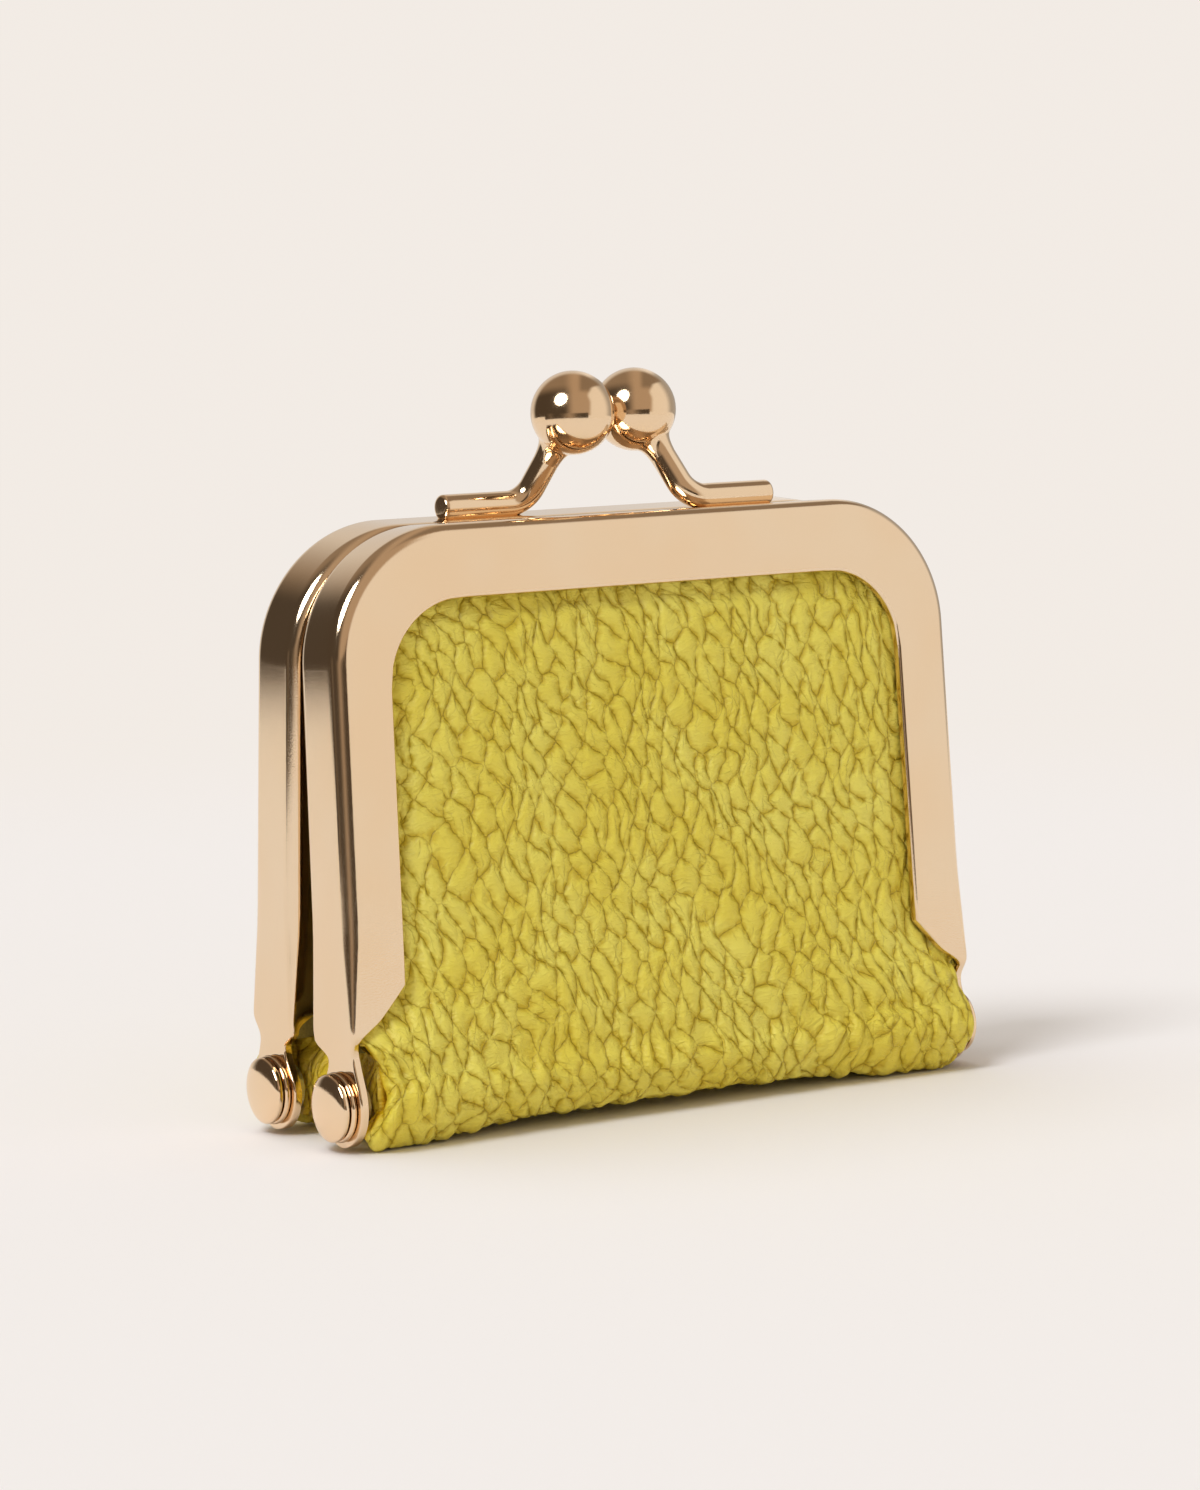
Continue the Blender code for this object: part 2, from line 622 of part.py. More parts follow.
def build_rivet():
    """One solid rivet: domed head outside, shank through the hinge and a set tail inside."""
    dome = [(0.0, HEAD_X + HEAD_RIM + HEAD_DOME)]
    for i in range(1, DOME_STEPS + 1):
        angle = math.pi / 2 * i / DOME_STEPS
        rise = HEAD_DOME * math.cos(angle)
        dome.append((HEAD_RADIUS * math.sin(angle), HEAD_X + HEAD_RIM + rise))
    tail_start = TAIL_X + TAIL_THICKNESS
    under = [
        (HEAD_RADIUS, HEAD_X),
        (SHANK_RADIUS, HEAD_X),
        (SHANK_RADIUS, tail_start),
        (TAIL_RADIUS, tail_start),
        (TAIL_RADIUS, TAIL_X),
        (0.0, TAIL_X),
    ]
    return turned_mesh("rivet", dome + under)


def ring_profile(radius, low, high):
    return [(radius, high), (radius, low), (HOLE_RADIUS, low), (HOLE_RADIUS, high)]


hang_on_both("frame", build_frame(), FRAME_GOLD)
ball_centre = front_axis.matrix_world.inverted() @ Vector((BALL_HALF_SPACING, BALL_STAGGER, BALL_HEIGHT))
hang_on_both("clasp_post", build_rod(ball_centre), CLASP_GOLD)
hang_on_both("clasp_ball", ball_mesh("clasp_ball", BALL_RADIUS, ball_centre), CLASP_GOLD)
hang_on_both("leather_panel", build_panel(), LIME_LEATHER)
hang_on_both("board", build_board(), STIFF_BOARD)
hang_on_both("lining", build_lining(), SUEDE_LINING)
hang_on_both("packing_cord", build_packing(), PAPER_CORD)

add_object("base_leather", build_base_leather(), LIME_LEATHER)
set_at_both_ends("gusset", build_gusset(), LIME_LEATHER)
set_at_both_ends("hinge_link", build_link(), LINK_STEEL)
set_on_rivets("rivet", build_rivet(), RIVET_GOLD)
washer_profile = ring_profile(WASHER_RADIUS, WASHER_X, WASHER_X + WASHER_THICKNESS)
set_on_rivets("rivet_washer", turned_mesh("washer", washer_profile, closed=True), RIVET_GOLD)
spacer_profile = ring_profile(SPACER_RADIUS, SPACER_X, SPACER_X + SPACER_THICKNESS)
set_on_rivets("rivet_spacer", turned_mesh("spacer", spacer_profile, closed=True), RIVET_GOLD)

base_board_outline = rectangle(
    -GUSSET_LINING_X,
    -HINGE_HALF_SPACING - BASE_BOARD_PAST_HINGE,
    GUSSET_LINING_X,
    HINGE_HALF_SPACING + BASE_BOARD_PAST_HINGE,
)
base_board = plate_mesh("base_board", [base_board_outline], BASE_BOARD, "Z")
add_object("base_board", shifted(base_board, z=INNER_FLOOR), STIFF_BOARD)
base_lining_outline = rectangle(
    GAP - GUSSET_LINING_X,
    -HINGE_HALF_SPACING - BASE_LINING_PAST_HINGE,
    GUSSET_LINING_X - GAP,
    HINGE_HALF_SPACING + BASE_LINING_PAST_HINGE,
)
base_lining = plate_mesh("base_lining", [base_lining_outline], LINING, "Z")
add_object("base_lining", shifted(base_lining, z=LINING_FLOOR), SUEDE_LINING)
gusset_lining_outline = rectangle(
    GUSSET_LINING_INSET - GUSSET_HALF_DEPTH,
    LINING_FLOOR,
    GUSSET_HALF_DEPTH - GUSSET_LINING_INSET,
    GUSSET_TOP - GUSSET_LINING_INSET,
)
gusset_lining = plate_mesh("gusset_lining", [gusset_lining_outline], LINING, "X")
set_at_both_ends("gusset_lining", shifted(gusset_lining, x=GUSSET_LINING_X), SUEDE_LINING)
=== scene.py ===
# %% [markdown]
# A small kiss-lock pouch: two arched channels of rose-gold plated sheet, a pebbled lime leather
# pocket between them, and a clasp of two balls that snap past each other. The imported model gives
# the hinges, the hidden pieces' places and every moving body. This lesson dresses it: finer metal,
# soft leather and light.

# %% Load the frame
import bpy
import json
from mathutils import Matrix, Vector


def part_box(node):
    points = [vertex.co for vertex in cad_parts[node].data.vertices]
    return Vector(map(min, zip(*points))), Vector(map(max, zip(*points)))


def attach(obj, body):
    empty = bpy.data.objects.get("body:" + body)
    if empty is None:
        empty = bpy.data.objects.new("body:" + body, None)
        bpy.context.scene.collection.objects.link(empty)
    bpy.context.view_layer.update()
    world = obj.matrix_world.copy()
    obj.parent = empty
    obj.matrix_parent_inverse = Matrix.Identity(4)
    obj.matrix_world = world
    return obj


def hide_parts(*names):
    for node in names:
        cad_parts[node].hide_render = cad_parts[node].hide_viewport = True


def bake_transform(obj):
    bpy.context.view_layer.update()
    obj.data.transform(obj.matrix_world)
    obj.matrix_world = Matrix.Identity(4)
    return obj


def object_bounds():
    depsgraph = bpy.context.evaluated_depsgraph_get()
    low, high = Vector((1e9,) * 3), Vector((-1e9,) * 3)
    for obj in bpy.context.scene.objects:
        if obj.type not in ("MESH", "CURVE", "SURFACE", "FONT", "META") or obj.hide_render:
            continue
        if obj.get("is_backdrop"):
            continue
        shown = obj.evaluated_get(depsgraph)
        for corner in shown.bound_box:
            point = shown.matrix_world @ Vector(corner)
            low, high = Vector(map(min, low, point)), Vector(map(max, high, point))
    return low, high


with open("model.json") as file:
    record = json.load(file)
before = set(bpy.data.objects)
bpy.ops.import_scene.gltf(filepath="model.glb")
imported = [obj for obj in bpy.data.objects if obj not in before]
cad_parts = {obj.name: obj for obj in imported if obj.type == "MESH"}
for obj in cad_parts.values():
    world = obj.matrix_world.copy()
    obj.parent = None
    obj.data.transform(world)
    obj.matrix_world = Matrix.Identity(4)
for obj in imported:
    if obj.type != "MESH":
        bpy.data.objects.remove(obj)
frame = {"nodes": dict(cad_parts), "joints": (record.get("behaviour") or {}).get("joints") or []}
cad_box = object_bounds()

# %% Tools and the unit
import json
import math

import bmesh
import bpy
import numpy as np
from mathutils import Matrix, Vector

MM = 0.001
scene = bpy.context.scene
scene.view_settings.view_transform = "Standard"

# %% [markdown]
# The camera comes first, because everything is judged through it. A long lens stands half a metre
# away, to the left of the front and a little above the middle. Its focal length was fitted in
# pixels of a 1200 by 1490 picture. Blender's automatic fit lays the sensor's 36 mm along the longer
# side, so the lens in millimetres follows from the picture's height.

# %% Camera
PICTURE_HEIGHT = 1490
FOCAL_PIXELS = 4639.2
SENSOR = 36.0
VIEW_AZIMUTH = math.radians(-33.0)
VIEW_ELEVATION = math.radians(5.95)
VIEW_ROLL = math.radians(-1.586)
VIEW_DISTANCE = 506.4 * MM
AIM_ASIDE = -1.39 * MM
AIM_HEIGHT = 38.96 * MM

view_right = Vector((math.cos(VIEW_AZIMUTH), math.sin(VIEW_AZIMUTH), 0.0))
view_back = Vector((
    math.sin(VIEW_AZIMUTH) * math.cos(VIEW_ELEVATION),
    -math.cos(VIEW_AZIMUTH) * math.cos(VIEW_ELEVATION),
    math.sin(VIEW_ELEVATION),
))
view_up = view_back.cross(view_right)
camera_place = Vector((0.0, 0.0, AIM_HEIGHT)) + view_right * AIM_ASIDE + view_back * VIEW_DISTANCE
roll = Matrix.Rotation(VIEW_ROLL, 3, view_back)
axes = Matrix((roll @ view_right, roll @ view_up, view_back)).transposed()
camera_data = bpy.data.cameras.new("camera")
camera_data.sensor_width = SENSOR
camera_data.lens = SENSOR * FOCAL_PIXELS / PICTURE_HEIGHT
camera_data.clip_start = 10 * MM
camera = bpy.data.objects.new("camera", camera_data)
camera.matrix_world = Matrix.Translation(camera_place) @ axes.to_4x4()
scene.collection.objects.link(camera)
scene.camera = camera
print("lens", round(camera_data.lens, 2), "mm at", [round(v, 3) for v in camera_place])

# %% [markdown]
# Small helpers add a node and wire it, for shaders and for geometry alike. An input that is given
# a socket is linked, and one that is given a value is set.

# %% Node helpers
def add_node(tree, kind, inputs=None, **settings):
    node = tree.nodes.new(kind)
    for key, value in settings.items():
        setattr(node, key, value)
    for key, value in (inputs or {}).items():
        if isinstance(value, bpy.types.NodeSocket):
            tree.links.new(value, node.inputs[key])
        else:
            node.inputs[key].default_value = value
    return node


def math_node(tree, operation, a, b=0.0):
    return add_node(tree, "ShaderNodeMath", {0: a, 1: b}, operation=operation).outputs[0]


def plus(tree, total, value, factor):
    """A total with a value's share added to it."""
    return math_node(tree, "ADD", total, math_node(tree, "MULTIPLY", value, factor))


def vector_node(tree, operation, a, b=(0.0, 0.0, 0.0)):
    return add_node(tree, "ShaderNodeVectorMath", {0: a, 1: b}, operation=operation).outputs[0]


def longer(tree, vector, factor):
    """A vector times a number."""
    inputs = {0: vector, "Scale": factor}
    return add_node(tree, "ShaderNodeVectorMath", inputs, operation="SCALE").outputs[0]


def spread(tree, value, low, high, to_low=0.0, to_high=1.0, smooth=True):
    """The value from low to high, eased into another range."""
    inputs = {"Value": value, "From Min": low, "From Max": high, "To Min": to_low, "To Max": to_high}
    kind = "SMOOTHSTEP" if smooth else "LINEAR"
    return add_node(tree, "ShaderNodeMapRange", inputs, interpolation_type=kind).outputs["Result"]


def noise_node(tree, place, scale, detail):
    """Noise over a place, around a half."""
    inputs = {"Vector": place, "Scale": scale, "Detail": detail}
    return add_node(tree, "ShaderNodeTexNoise", inputs).outputs["Fac"]


def blend_colors(tree, factor, a, b):
    a, b = (c if isinstance(c, bpy.types.NodeSocket) else (*c, 1.0) for c in (a, b))
    return add_node(tree, "ShaderNodeMix", {0: factor, 6: a, 7: b}, data_type="RGBA").outputs[2]


def seen_ray(tree):
    """1 for a ray that shows the backdrop: from the camera, off a gloss or through glass."""
    path = add_node(tree, "ShaderNodeLightPath")
    seen = math_node(tree, "MAXIMUM", path.outputs["Is Camera Ray"], path.outputs["Is Glossy Ray"])
    return math_node(tree, "MAXIMUM", seen, path.outputs["Is Transmission Ray"])


# %% [markdown]
# The studio is a pale sheet under one round lamp, high at the left, with a pale room behind. The
# lamp that gives the shadows is a sun, because its light is as strong at every place. A weaker and
# wider sun near the zenith stands for the light that comes back from above, and a disc in nearly
# the lamp's direction gives the gloss.

# %% World and lamps
PAPER = (0.891, 0.835, 0.783)
ROOM_LIGHT = (0.50, 0.472, 0.43)
KEY_COLOR = (0.93, 1.0, 1.12)
KEY_STRENGTH = 1.5
KEY_ANGLE = math.radians(22)
KEY_FROM = Vector((-0.573, -0.15, 0.809)).normalized()
TOP_STRENGTH = 0.75
TOP_ANGLE = math.radians(40)
TOP_FROM = Vector((-0.15, 0.30, 0.94)).normalized()
SOFTBOX_FROM = Vector((-0.713, -0.25, 0.66)).normalized()
SOFTBOX_ANGLE = math.radians(30)
SOFTBOX_DISTANCE = 0.9
SOFTBOX_RADIANCE = 9.0

world = bpy.data.worlds.new("pale_room")
scene.world = world
world.use_nodes = True
tree = world.node_tree
color = blend_colors(tree, seen_ray(tree), ROOM_LIGHT, PAPER)
tree.links.new(color, tree.nodes["Background"].inputs["Color"])

for name, strength, angle, towards in (
    ("key_sun", KEY_STRENGTH, KEY_ANGLE, KEY_FROM), ("top_sun", TOP_STRENGTH, TOP_ANGLE, TOP_FROM),
):
    sun_data = bpy.data.lights.new(name, "SUN")
    sun_data.energy = strength
    sun_data.color = tuple(c / max(KEY_COLOR) for c in KEY_COLOR)
    sun_data.angle = angle
    sun = bpy.data.objects.new(name, sun_data)
    sun.rotation_euler = towards.to_track_quat("Z", "Y").to_euler()
    sun.visible_glossy = False
    scene.collection.objects.link(sun)

disc_radius = SOFTBOX_DISTANCE * math.tan(SOFTBOX_ANGLE / 2)
box_data = bpy.data.lights.new("key_softbox", "AREA")
box_data.shape = "DISK"
box_data.size = 2 * disc_radius
box_data.energy = SOFTBOX_RADIANCE * math.pi * math.pi * disc_radius ** 2
softbox = bpy.data.objects.new("key_softbox", box_data)
softbox.location = SOFTBOX_FROM * SOFTBOX_DISTANCE
softbox.rotation_euler = SOFTBOX_FROM.to_track_quat("Z", "Y").to_euler()
softbox.visible_diffuse = False
scene.collection.objects.link(softbox)
print("key from", [round(v, 2) for v in KEY_FROM], "disc radius", round(disc_radius, 3), "m")

# %% [markdown]
# The floor is a round sheet that fades into the backdrop before its edge, so that no edge shows. It
# keeps the pouch's shadow, because it only glows further out.

# %% Floor
FLOOR_RADIUS = 0.65
FLOOR_FADE = (0.22, 0.42)
FLOOR_SIDES = 96


def make_object(name, points, faces, material):
    mesh = bpy.data.meshes.new(name)
    mesh.from_pydata([tuple(p) for p in points], [], faces)
    mesh.update()
    mesh.shade_smooth()
    mesh.materials.append(material)
    obj = bpy.data.objects.new(name, mesh)
    scene.collection.objects.link(obj)
    return obj


def new_material(name):
    material = bpy.data.materials.new(name)
    material.use_nodes = True
    return material, material.node_tree, material.node_tree.nodes["Principled BSDF"]


def object_place(tree):
    return add_node(tree, "ShaderNodeTexCoord").outputs["Object"]


floor_paper, tree, shader = new_material("floor_paper")
shader.inputs["Base Color"].default_value = (*PAPER, 1.0)
shader.inputs["Roughness"].default_value = 1.0
shader.inputs["Specular IOR Level"].default_value = 0.0
reach = add_node(tree, "ShaderNodeVectorMath", {0: object_place(tree)}, operation="LENGTH").outputs["Value"]
far = math_node(tree, "MULTIPLY", spread(tree, reach, *FLOOR_FADE), seen_ray(tree))
glow = add_node(tree, "ShaderNodeEmission", {"Color": (*PAPER, 1.0), "Strength": 1.0})
mixed = add_node(tree, "ShaderNodeMixShader", {0: far, 1: shader.outputs[0], 2: glow.outputs[0]})
tree.links.new(mixed.outputs[0], tree.nodes["Material Output"].inputs["Surface"])

floor_points = [(0.0, 0.0, 0.0)]
for i in range(FLOOR_SIDES):
    angle = 2 * math.pi * i / FLOOR_SIDES
    floor_points.append((FLOOR_RADIUS * math.cos(angle), FLOOR_RADIUS * math.sin(angle), 0.0))
floor_faces = [(0, 1 + i, 1 + (i + 1) % FLOOR_SIDES) for i in range(FLOOR_SIDES)]
floor = make_object("floor", floor_points, floor_faces, floor_paper)
floor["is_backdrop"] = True
print("stage", floor.name, "radius", FLOOR_RADIUS, "m")

# %% [markdown]
# A polished ball shows the whole room, so the room's dark front and side are here too. They are
# painted point by point on a far shell and on a low card nearer by. The camera and the soft light
# don't see them, and they cast no shadow. A place in the room is named by where a ball shows it:
# how far aside and above the ball's middle, as shares of its radius. A pair of numbers says where a
# change starts and how long it takes.

# %% Dark side of the room
ROOM_RADIUS = 1.3
ROOM_LOW = -28.0
ROOM_HIGH = 89.5
ROOM_ROWS = 120
ROOM_COLUMNS = 240
ROOM_BROWN = (1.30, 0.99, 0.73)
FRONT_TONE = 0.37
LEFT_DROP = 0.31
LEFT_FADE = (-0.20, 0.26)
HIGH_LEFT_RISE = 0.17
HIGH_LEFT_FADE = (0.42, 0.25)
HIGH_RIGHT_DROP = 0.16
HIGH_RIGHT_FADES = ((0.42, 0.14), (0.10, 0.14))
GROUND_LINE = -0.03
GROUND_SLOPE = -0.12
GROUND_END = -0.84
LEFT_SOFTNESS = 0.02
RIGHT_SOFTNESS = 0.06
DARK_END = 0.42
DARK_END_FADE = 0.10
NOTCH = (0.06, 0.4, 0.1)
HIGH_END_SHIFT = 0.18
HIGH_END_FADE = (0.55, 0.15)
RIM_FADE = (0.86, 0.08)
LEFT_RIM_DROP = 0.20
LEFT_RIM_FADES = ((0.84, 0.08), (0.05, 0.2), (0.0, 0.3))
RIGHT_RIM_DROP = 0.52
RIGHT_RIM_FADES = ((0.76, 0.14), (0.3, 0.2), (-0.3, 0.2))


def ramp(value, start=0.0, length=1.0):
    """From 0 to 1, eased, as a value goes from a start over a length. A negative length runs down."""
    value = np.clip((value - start) / length, 0.0, 1.0)
    return value * value * (3.0 - 2.0 * value)


def mirror_spot(directions):
    """Where a polished ball seen from the camera shows each direction, as shares of its radius."""
    half = directions + np.array(view_back)
    half /= np.linalg.norm(half, axis=1, keepdims=True)
    return half @ np.array(view_right), half @ np.array(view_up)


def room_paint(directions):
    """The room's colours: pale, but dark in front and darkest at the left of it."""
    aside, above = mirror_spot(directions)
    rim = np.hypot(aside, above)
    left = 1 - ramp(aside, *LEFT_FADE)
    level = FRONT_TONE - LEFT_DROP * left + HIGH_LEFT_RISE * left * ramp(above, *HIGH_LEFT_FADE)
    high_fade, right_fade = HIGH_RIGHT_FADES
    level -= HIGH_RIGHT_DROP * ramp(above, *high_fade) * ramp(aside, *right_fade)
    soft = LEFT_SOFTNESS + RIGHT_SOFTNESS * (1 - left)
    ground = GROUND_LINE + GROUND_SLOPE * (aside - GROUND_END)
    depth, middle, size = NOTCH
    edge = DARK_END - depth * np.exp(-((above - middle) / size) ** 2)
    edge += HIGH_END_SHIFT * ramp(above, *HIGH_END_FADE)
    dark = ramp(above, ground - soft, 2 * soft) * (1 - ramp(aside, edge - DARK_END_FADE / 2, DARK_END_FADE))
    dark *= 1 - ramp(rim, *RIM_FADE)
    rim_fade, above_fade, aside_fade = LEFT_RIM_FADES
    rim_drop = ramp(rim, *rim_fade) * ramp(above, *above_fade) * (1 - ramp(aside, *aside_fade))
    pale = 1 - LEFT_RIM_DROP * rim_drop
    rim_fade, aside_fade, above_fade = RIGHT_RIM_FADES
    pale *= 1 - RIGHT_RIM_DROP * ramp(rim, *rim_fade) * ramp(aside, *aside_fade) * ramp(above, *above_fade)
    light = np.outer(pale, PAPER)
    return light + (np.outer(level, ROOM_BROWN) - light) * dark[:, None]


def painted(name, points, faces, colors):
    """A surface that only reflections see, coloured point by point."""
    material, tree, shader = new_material(name + "_paint")
    color = add_node(tree, "ShaderNodeAttribute", attribute_name="room_color").outputs["Color"]
    glow = add_node(tree, "ShaderNodeEmission", {"Color": color, "Strength": 1.0})
    tree.links.new(glow.outputs[0], tree.nodes["Material Output"].inputs["Surface"])
    obj = make_object(name, points, faces, material)
    colors = np.concatenate([colors, np.ones((len(colors), 1))], 1).astype(np.float32).ravel()
    obj.data.attributes.new("room_color", "FLOAT_COLOR", "POINT").data.foreach_set("color", colors)
    obj.visible_camera = False
    obj.visible_diffuse = False
    obj.visible_shadow = False
    obj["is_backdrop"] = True


def band_faces(rows, columns, start=0, closed=True):
    """Quads between rows of points that follow one another. Each row may close into a ring."""
    faces = []
    for i in range(rows - 1):
        for j in range(columns if closed else columns - 1):
            a, b = start + i * columns + j, start + i * columns + (j + 1) % columns
            faces.append((a, a + columns, b + columns, b))
    return faces


elevations = np.radians(np.linspace(ROOM_LOW, ROOM_HIGH, ROOM_ROWS + 1))
azimuths = 2 * math.pi * np.arange(ROOM_COLUMNS) / ROOM_COLUMNS
elevation, azimuth = (grid.ravel() for grid in np.meshgrid(elevations, azimuths, indexing="ij"))
flat = np.cos(elevation)
directions = np.stack([np.sin(azimuth) * flat, -np.cos(azimuth) * flat, np.sin(elevation)], 1)
room_faces = band_faces(ROOM_ROWS + 1, ROOM_COLUMNS)
painted("room", directions * ROOM_RADIUS, room_faces, room_paint(directions))
print("room", len(room_faces), "faces")

# %% Low card in front of the room
FLAG_DISTANCE = 0.34
FLAG_FOOT = 0.5 * MM
FLAG_HEIGHT = 0.078
FLAG_TURN = (-24, 100)
FLAG_STEPS = 72
FLAG_TONE = 0.06
# Lighter places on the card, as (how much, at which turn, how wide) in degrees.
FLAG_GLOWS = ((0.20, 50, 16), (0.05, -5, 7))

points, colors = [], []
for turn in np.linspace(*FLAG_TURN, FLAG_STEPS + 1):
    angle = math.radians(turn)
    level = FLAG_TONE
    level += sum(much * math.exp(-((turn - middle) / width) ** 2) for much, middle, width in FLAG_GLOWS)
    for z in (FLAG_FOOT, FLAG_HEIGHT):
        points.append((-FLAG_DISTANCE * math.cos(angle), -FLAG_DISTANCE * math.sin(angle), z))
        colors.append([tone * level for tone in ROOM_BROWN])
painted("flag", points, band_faces(FLAG_STEPS + 1, 2, closed=False), np.array(colors))
print("card from", FLAG_TURN[0], "to", FLAG_TURN[1], "degrees")

# %% [markdown]
# The plating is a very pale rose gold. It is bright metal, so nearly all of its look is the room
# that it mirrors. What makes it real is small: a faint drift in tint, fine upright brushing on the
# flat faces, and a dust of tiny pits that breaks up the edge of every dark reflection.

# %% Gold plating
WARMER = (1.0, 0.955, 0.90)
TINT_PATCHES = 60.0
BRUSHING = (9000.0, 9000.0, 260.0)
PITS = 6500.0
PIT_ROUGHNESS = 0.05
PLATING_RELIEF = 0.01 * MM


def bump_node(tree, height, strength, distance):
    inputs = {"Height": height, "Strength": strength, "Distance": distance}
    return add_node(tree, "ShaderNodeBump", inputs)


def gold_material(name, tint, roughness, brushed, pitted):
    material, tree, shader = new_material(name)
    shader.inputs["Metallic"].default_value = 1.0
    place = object_place(tree)
    patches = spread(tree, noise_node(tree, place, TINT_PATCHES, 2.0), 0.35, 0.7)
    warm = tuple(c * f for c, f in zip(tint, WARMER))
    tree.links.new(blend_colors(tree, patches, tint, warm), shader.inputs["Base Color"])
    brush = noise_node(tree, vector_node(tree, "MULTIPLY", place, BRUSHING), 1.0, 3.0)
    pits = noise_node(tree, place, PITS, 2.0)
    smear = spread(tree, brush, 0.3, 0.7, roughness * 0.8, roughness * 1.25)
    dusty = plus(tree, smear, spread(tree, pits, 0.62, 0.75), PIT_ROUGHNESS)
    tree.links.new(dusty, shader.inputs["Roughness"])
    scratches = bump_node(tree, brush, brushed, PLATING_RELIEF)
    grains = bump_node(tree, pits, pitted, PLATING_RELIEF)
    tree.links.new(scratches.outputs[0], grains.inputs["Normal"])
    tree.links.new(grains.outputs[0], shader.inputs["Normal"])
    return material


FRAME_GOLD = gold_material("frame_gold", (0.870, 0.692, 0.490), 0.09, 0.2, 0.3)
CLASP_GOLD = gold_material("clasp_gold", (0.875, 0.678, 0.462), 0.10, 0.0, 0.08)
RIVET_GOLD = gold_material("rivet_gold", (0.900, 0.710, 0.500), 0.09, 0.0, 0.25)
print("gold", FRAME_GOLD.name, CLASP_GOLD.name, RIVET_GOLD.name)

# %% [markdown]
# Each frame is one pressed channel, bent to an arch: a wide face, a round shoulder, a web and a
# narrow inner flange. Near the foot the face ends on a slant and the web narrows to a neck and an
# ear for the rivet. A section is carried along the arch from one ear to the other, and its widths
# change with the height, so that the whole strip is a single closed surface. Only the holes for
# the rivets are drilled.

# %% The frame's own sizes
SHEET = 0.9 * MM
FRAME_HALF_WIDTH = 40.0 * MM
FRAME_HEIGHT = 59.9 * MM
FRAME_CORNER_RADIUS = 14.4 * MM
SIDE_TAPER = 0.016
FACE_WIDTH_SIDE = 6.9 * MM
FACE_WIDTH_TOP = 7.86 * MM
FACE_INNER_RADIUS = 8.9 * MM
BACK_FLANGE_WIDTH = 4.6 * MM
SHOULDER_RADIUS = 1.5 * MM
CHANNEL_DEPTH_TOP = 7.72 * MM
CHANNEL_DEPTH_GROWTH = 0.0125
FACE_TO_HINGE = 4.04 * MM
FLANGE_END_HEIGHT = 6.7 * MM
FLANGE_CORNER_HEIGHT = 12.4 * MM
EAR_RADIUS = 4.3 * MM
EAR_OUTSIDE = 39.6 * MM
GAP = 0.3 * MM

front_hinge = next(j for j in frame["joints"] if j["child"] == "front_half")
HINGE_SPACING = -front_hinge["pos_m"][1]
HINGE_HEIGHT = front_hinge["pos_m"][2]
LEAN = math.asin((HINGE_SPACING - (CHANNEL_DEPTH_TOP - FACE_TO_HINGE) - GAP / 2) / FRAME_HEIGHT)


def to_world(points):
    """Points measured from the front hinge axis of an upright frame, leaned into the row frame."""
    x, y, h = np.asarray(points, float).T
    y_world = y * math.cos(LEAN) + h * math.sin(LEAN) - HINGE_SPACING
    z_world = h * math.cos(LEAN) - y * math.sin(LEAN) + HINGE_HEIGHT
    return np.stack([x, y_world, z_world], 1)


def as_built(points):
    return np.asarray(points, float)


def half_turned(points):
    """The same piece on the other side, turned round by half a turn."""
    return np.asarray(points, float) * (-1.0, -1.0, 1.0)


FRONT_AND_REAR = (("front", as_built), ("rear", half_turned))
RIGHT_AND_LEFT = (("right", as_built), ("left", half_turned))


def side_x(height):
    return FRAME_HALF_WIDTH - SIDE_TAPER * (height - FLANGE_CORNER_HEIGHT)


INNER_TOP = FRAME_HEIGHT - FACE_WIDTH_TOP
INNER_CENTRE_H = INNER_TOP - FACE_INNER_RADIUS
INNER_CENTRE_X = side_x(INNER_CENTRE_H) - FACE_WIDTH_SIDE - FACE_INNER_RADIUS


def inside_opening(x, height):
    """How far a place lies inside the arched opening of the face, negative under the face."""
    x, height = np.abs(x), np.asarray(height, float)
    side = side_x(height) - FACE_WIDTH_SIDE - x
    crown = INNER_TOP - height
    past_x, past_h = x - INNER_CENTRE_X, height - INNER_CENTRE_H
    corner = FACE_INNER_RADIUS - np.hypot(np.maximum(past_x, 0), np.maximum(past_h, 0))
    return np.where((past_x > 0) & (past_h > 0), corner, np.minimum(side, crown))


print("lean", round(math.degrees(LEAN), 2), "degrees")

# %% Stations along the strip
EAR_ROWS = 16
EAR_START = 3
NECK_ROWS = 18
SLANT_ROWS = 16
SLANT_CROWDING = 1.3
SLANT_BOW = 0.82
LEG_ROWS = 14
CORNER_ROWS = 34
CROWN_ROWS = 12
NECK_FRONT = 3.1 * MM
NECK_BACK = 2.1 * MM
FLANGE_STUB = 1.0 * MM
PLATE_EDGE = 0.22 * MM
# Where each change near the foot starts above the hinge, and how long it takes.
FRONT_PINCH = (0.4 * MM, 5.2 * MM)
FRONT_FLARE = (5.4 * MM, 2.2 * MM)
BACK_PINCH = (0.2 * MM, 4.6 * MM)
BACK_FLARE = (4.9 * MM, 1.9 * MM)
CHANNEL_GROWTH = (5.4 * MM, 3.6 * MM)
JOGGLE = (4.4 * MM, 4.0 * MM)
FLANGE_GROWTH = (6.2 * MM, 4.0 * MM)
SHOULDER_GROWTH = (5.6 * MM, 12.4 * MM)


def face_width_at(height):
    """The face's width on a leg: nothing on the neck, then a slightly bowed slant."""
    rise = np.clip((height - FLANGE_END_HEIGHT) / (FLANGE_CORNER_HEIGHT - FLANGE_END_HEIGHT), 0, 1)
    return FLANGE_STUB + (FACE_WIDTH_SIDE - FLANGE_STUB) * rise ** SLANT_BOW


def ear_edge(height):
    """Half the ear's width below the hinge, where it is round."""
    return math.sqrt(max(EAR_RADIUS ** 2 - height ** 2, 0.0))


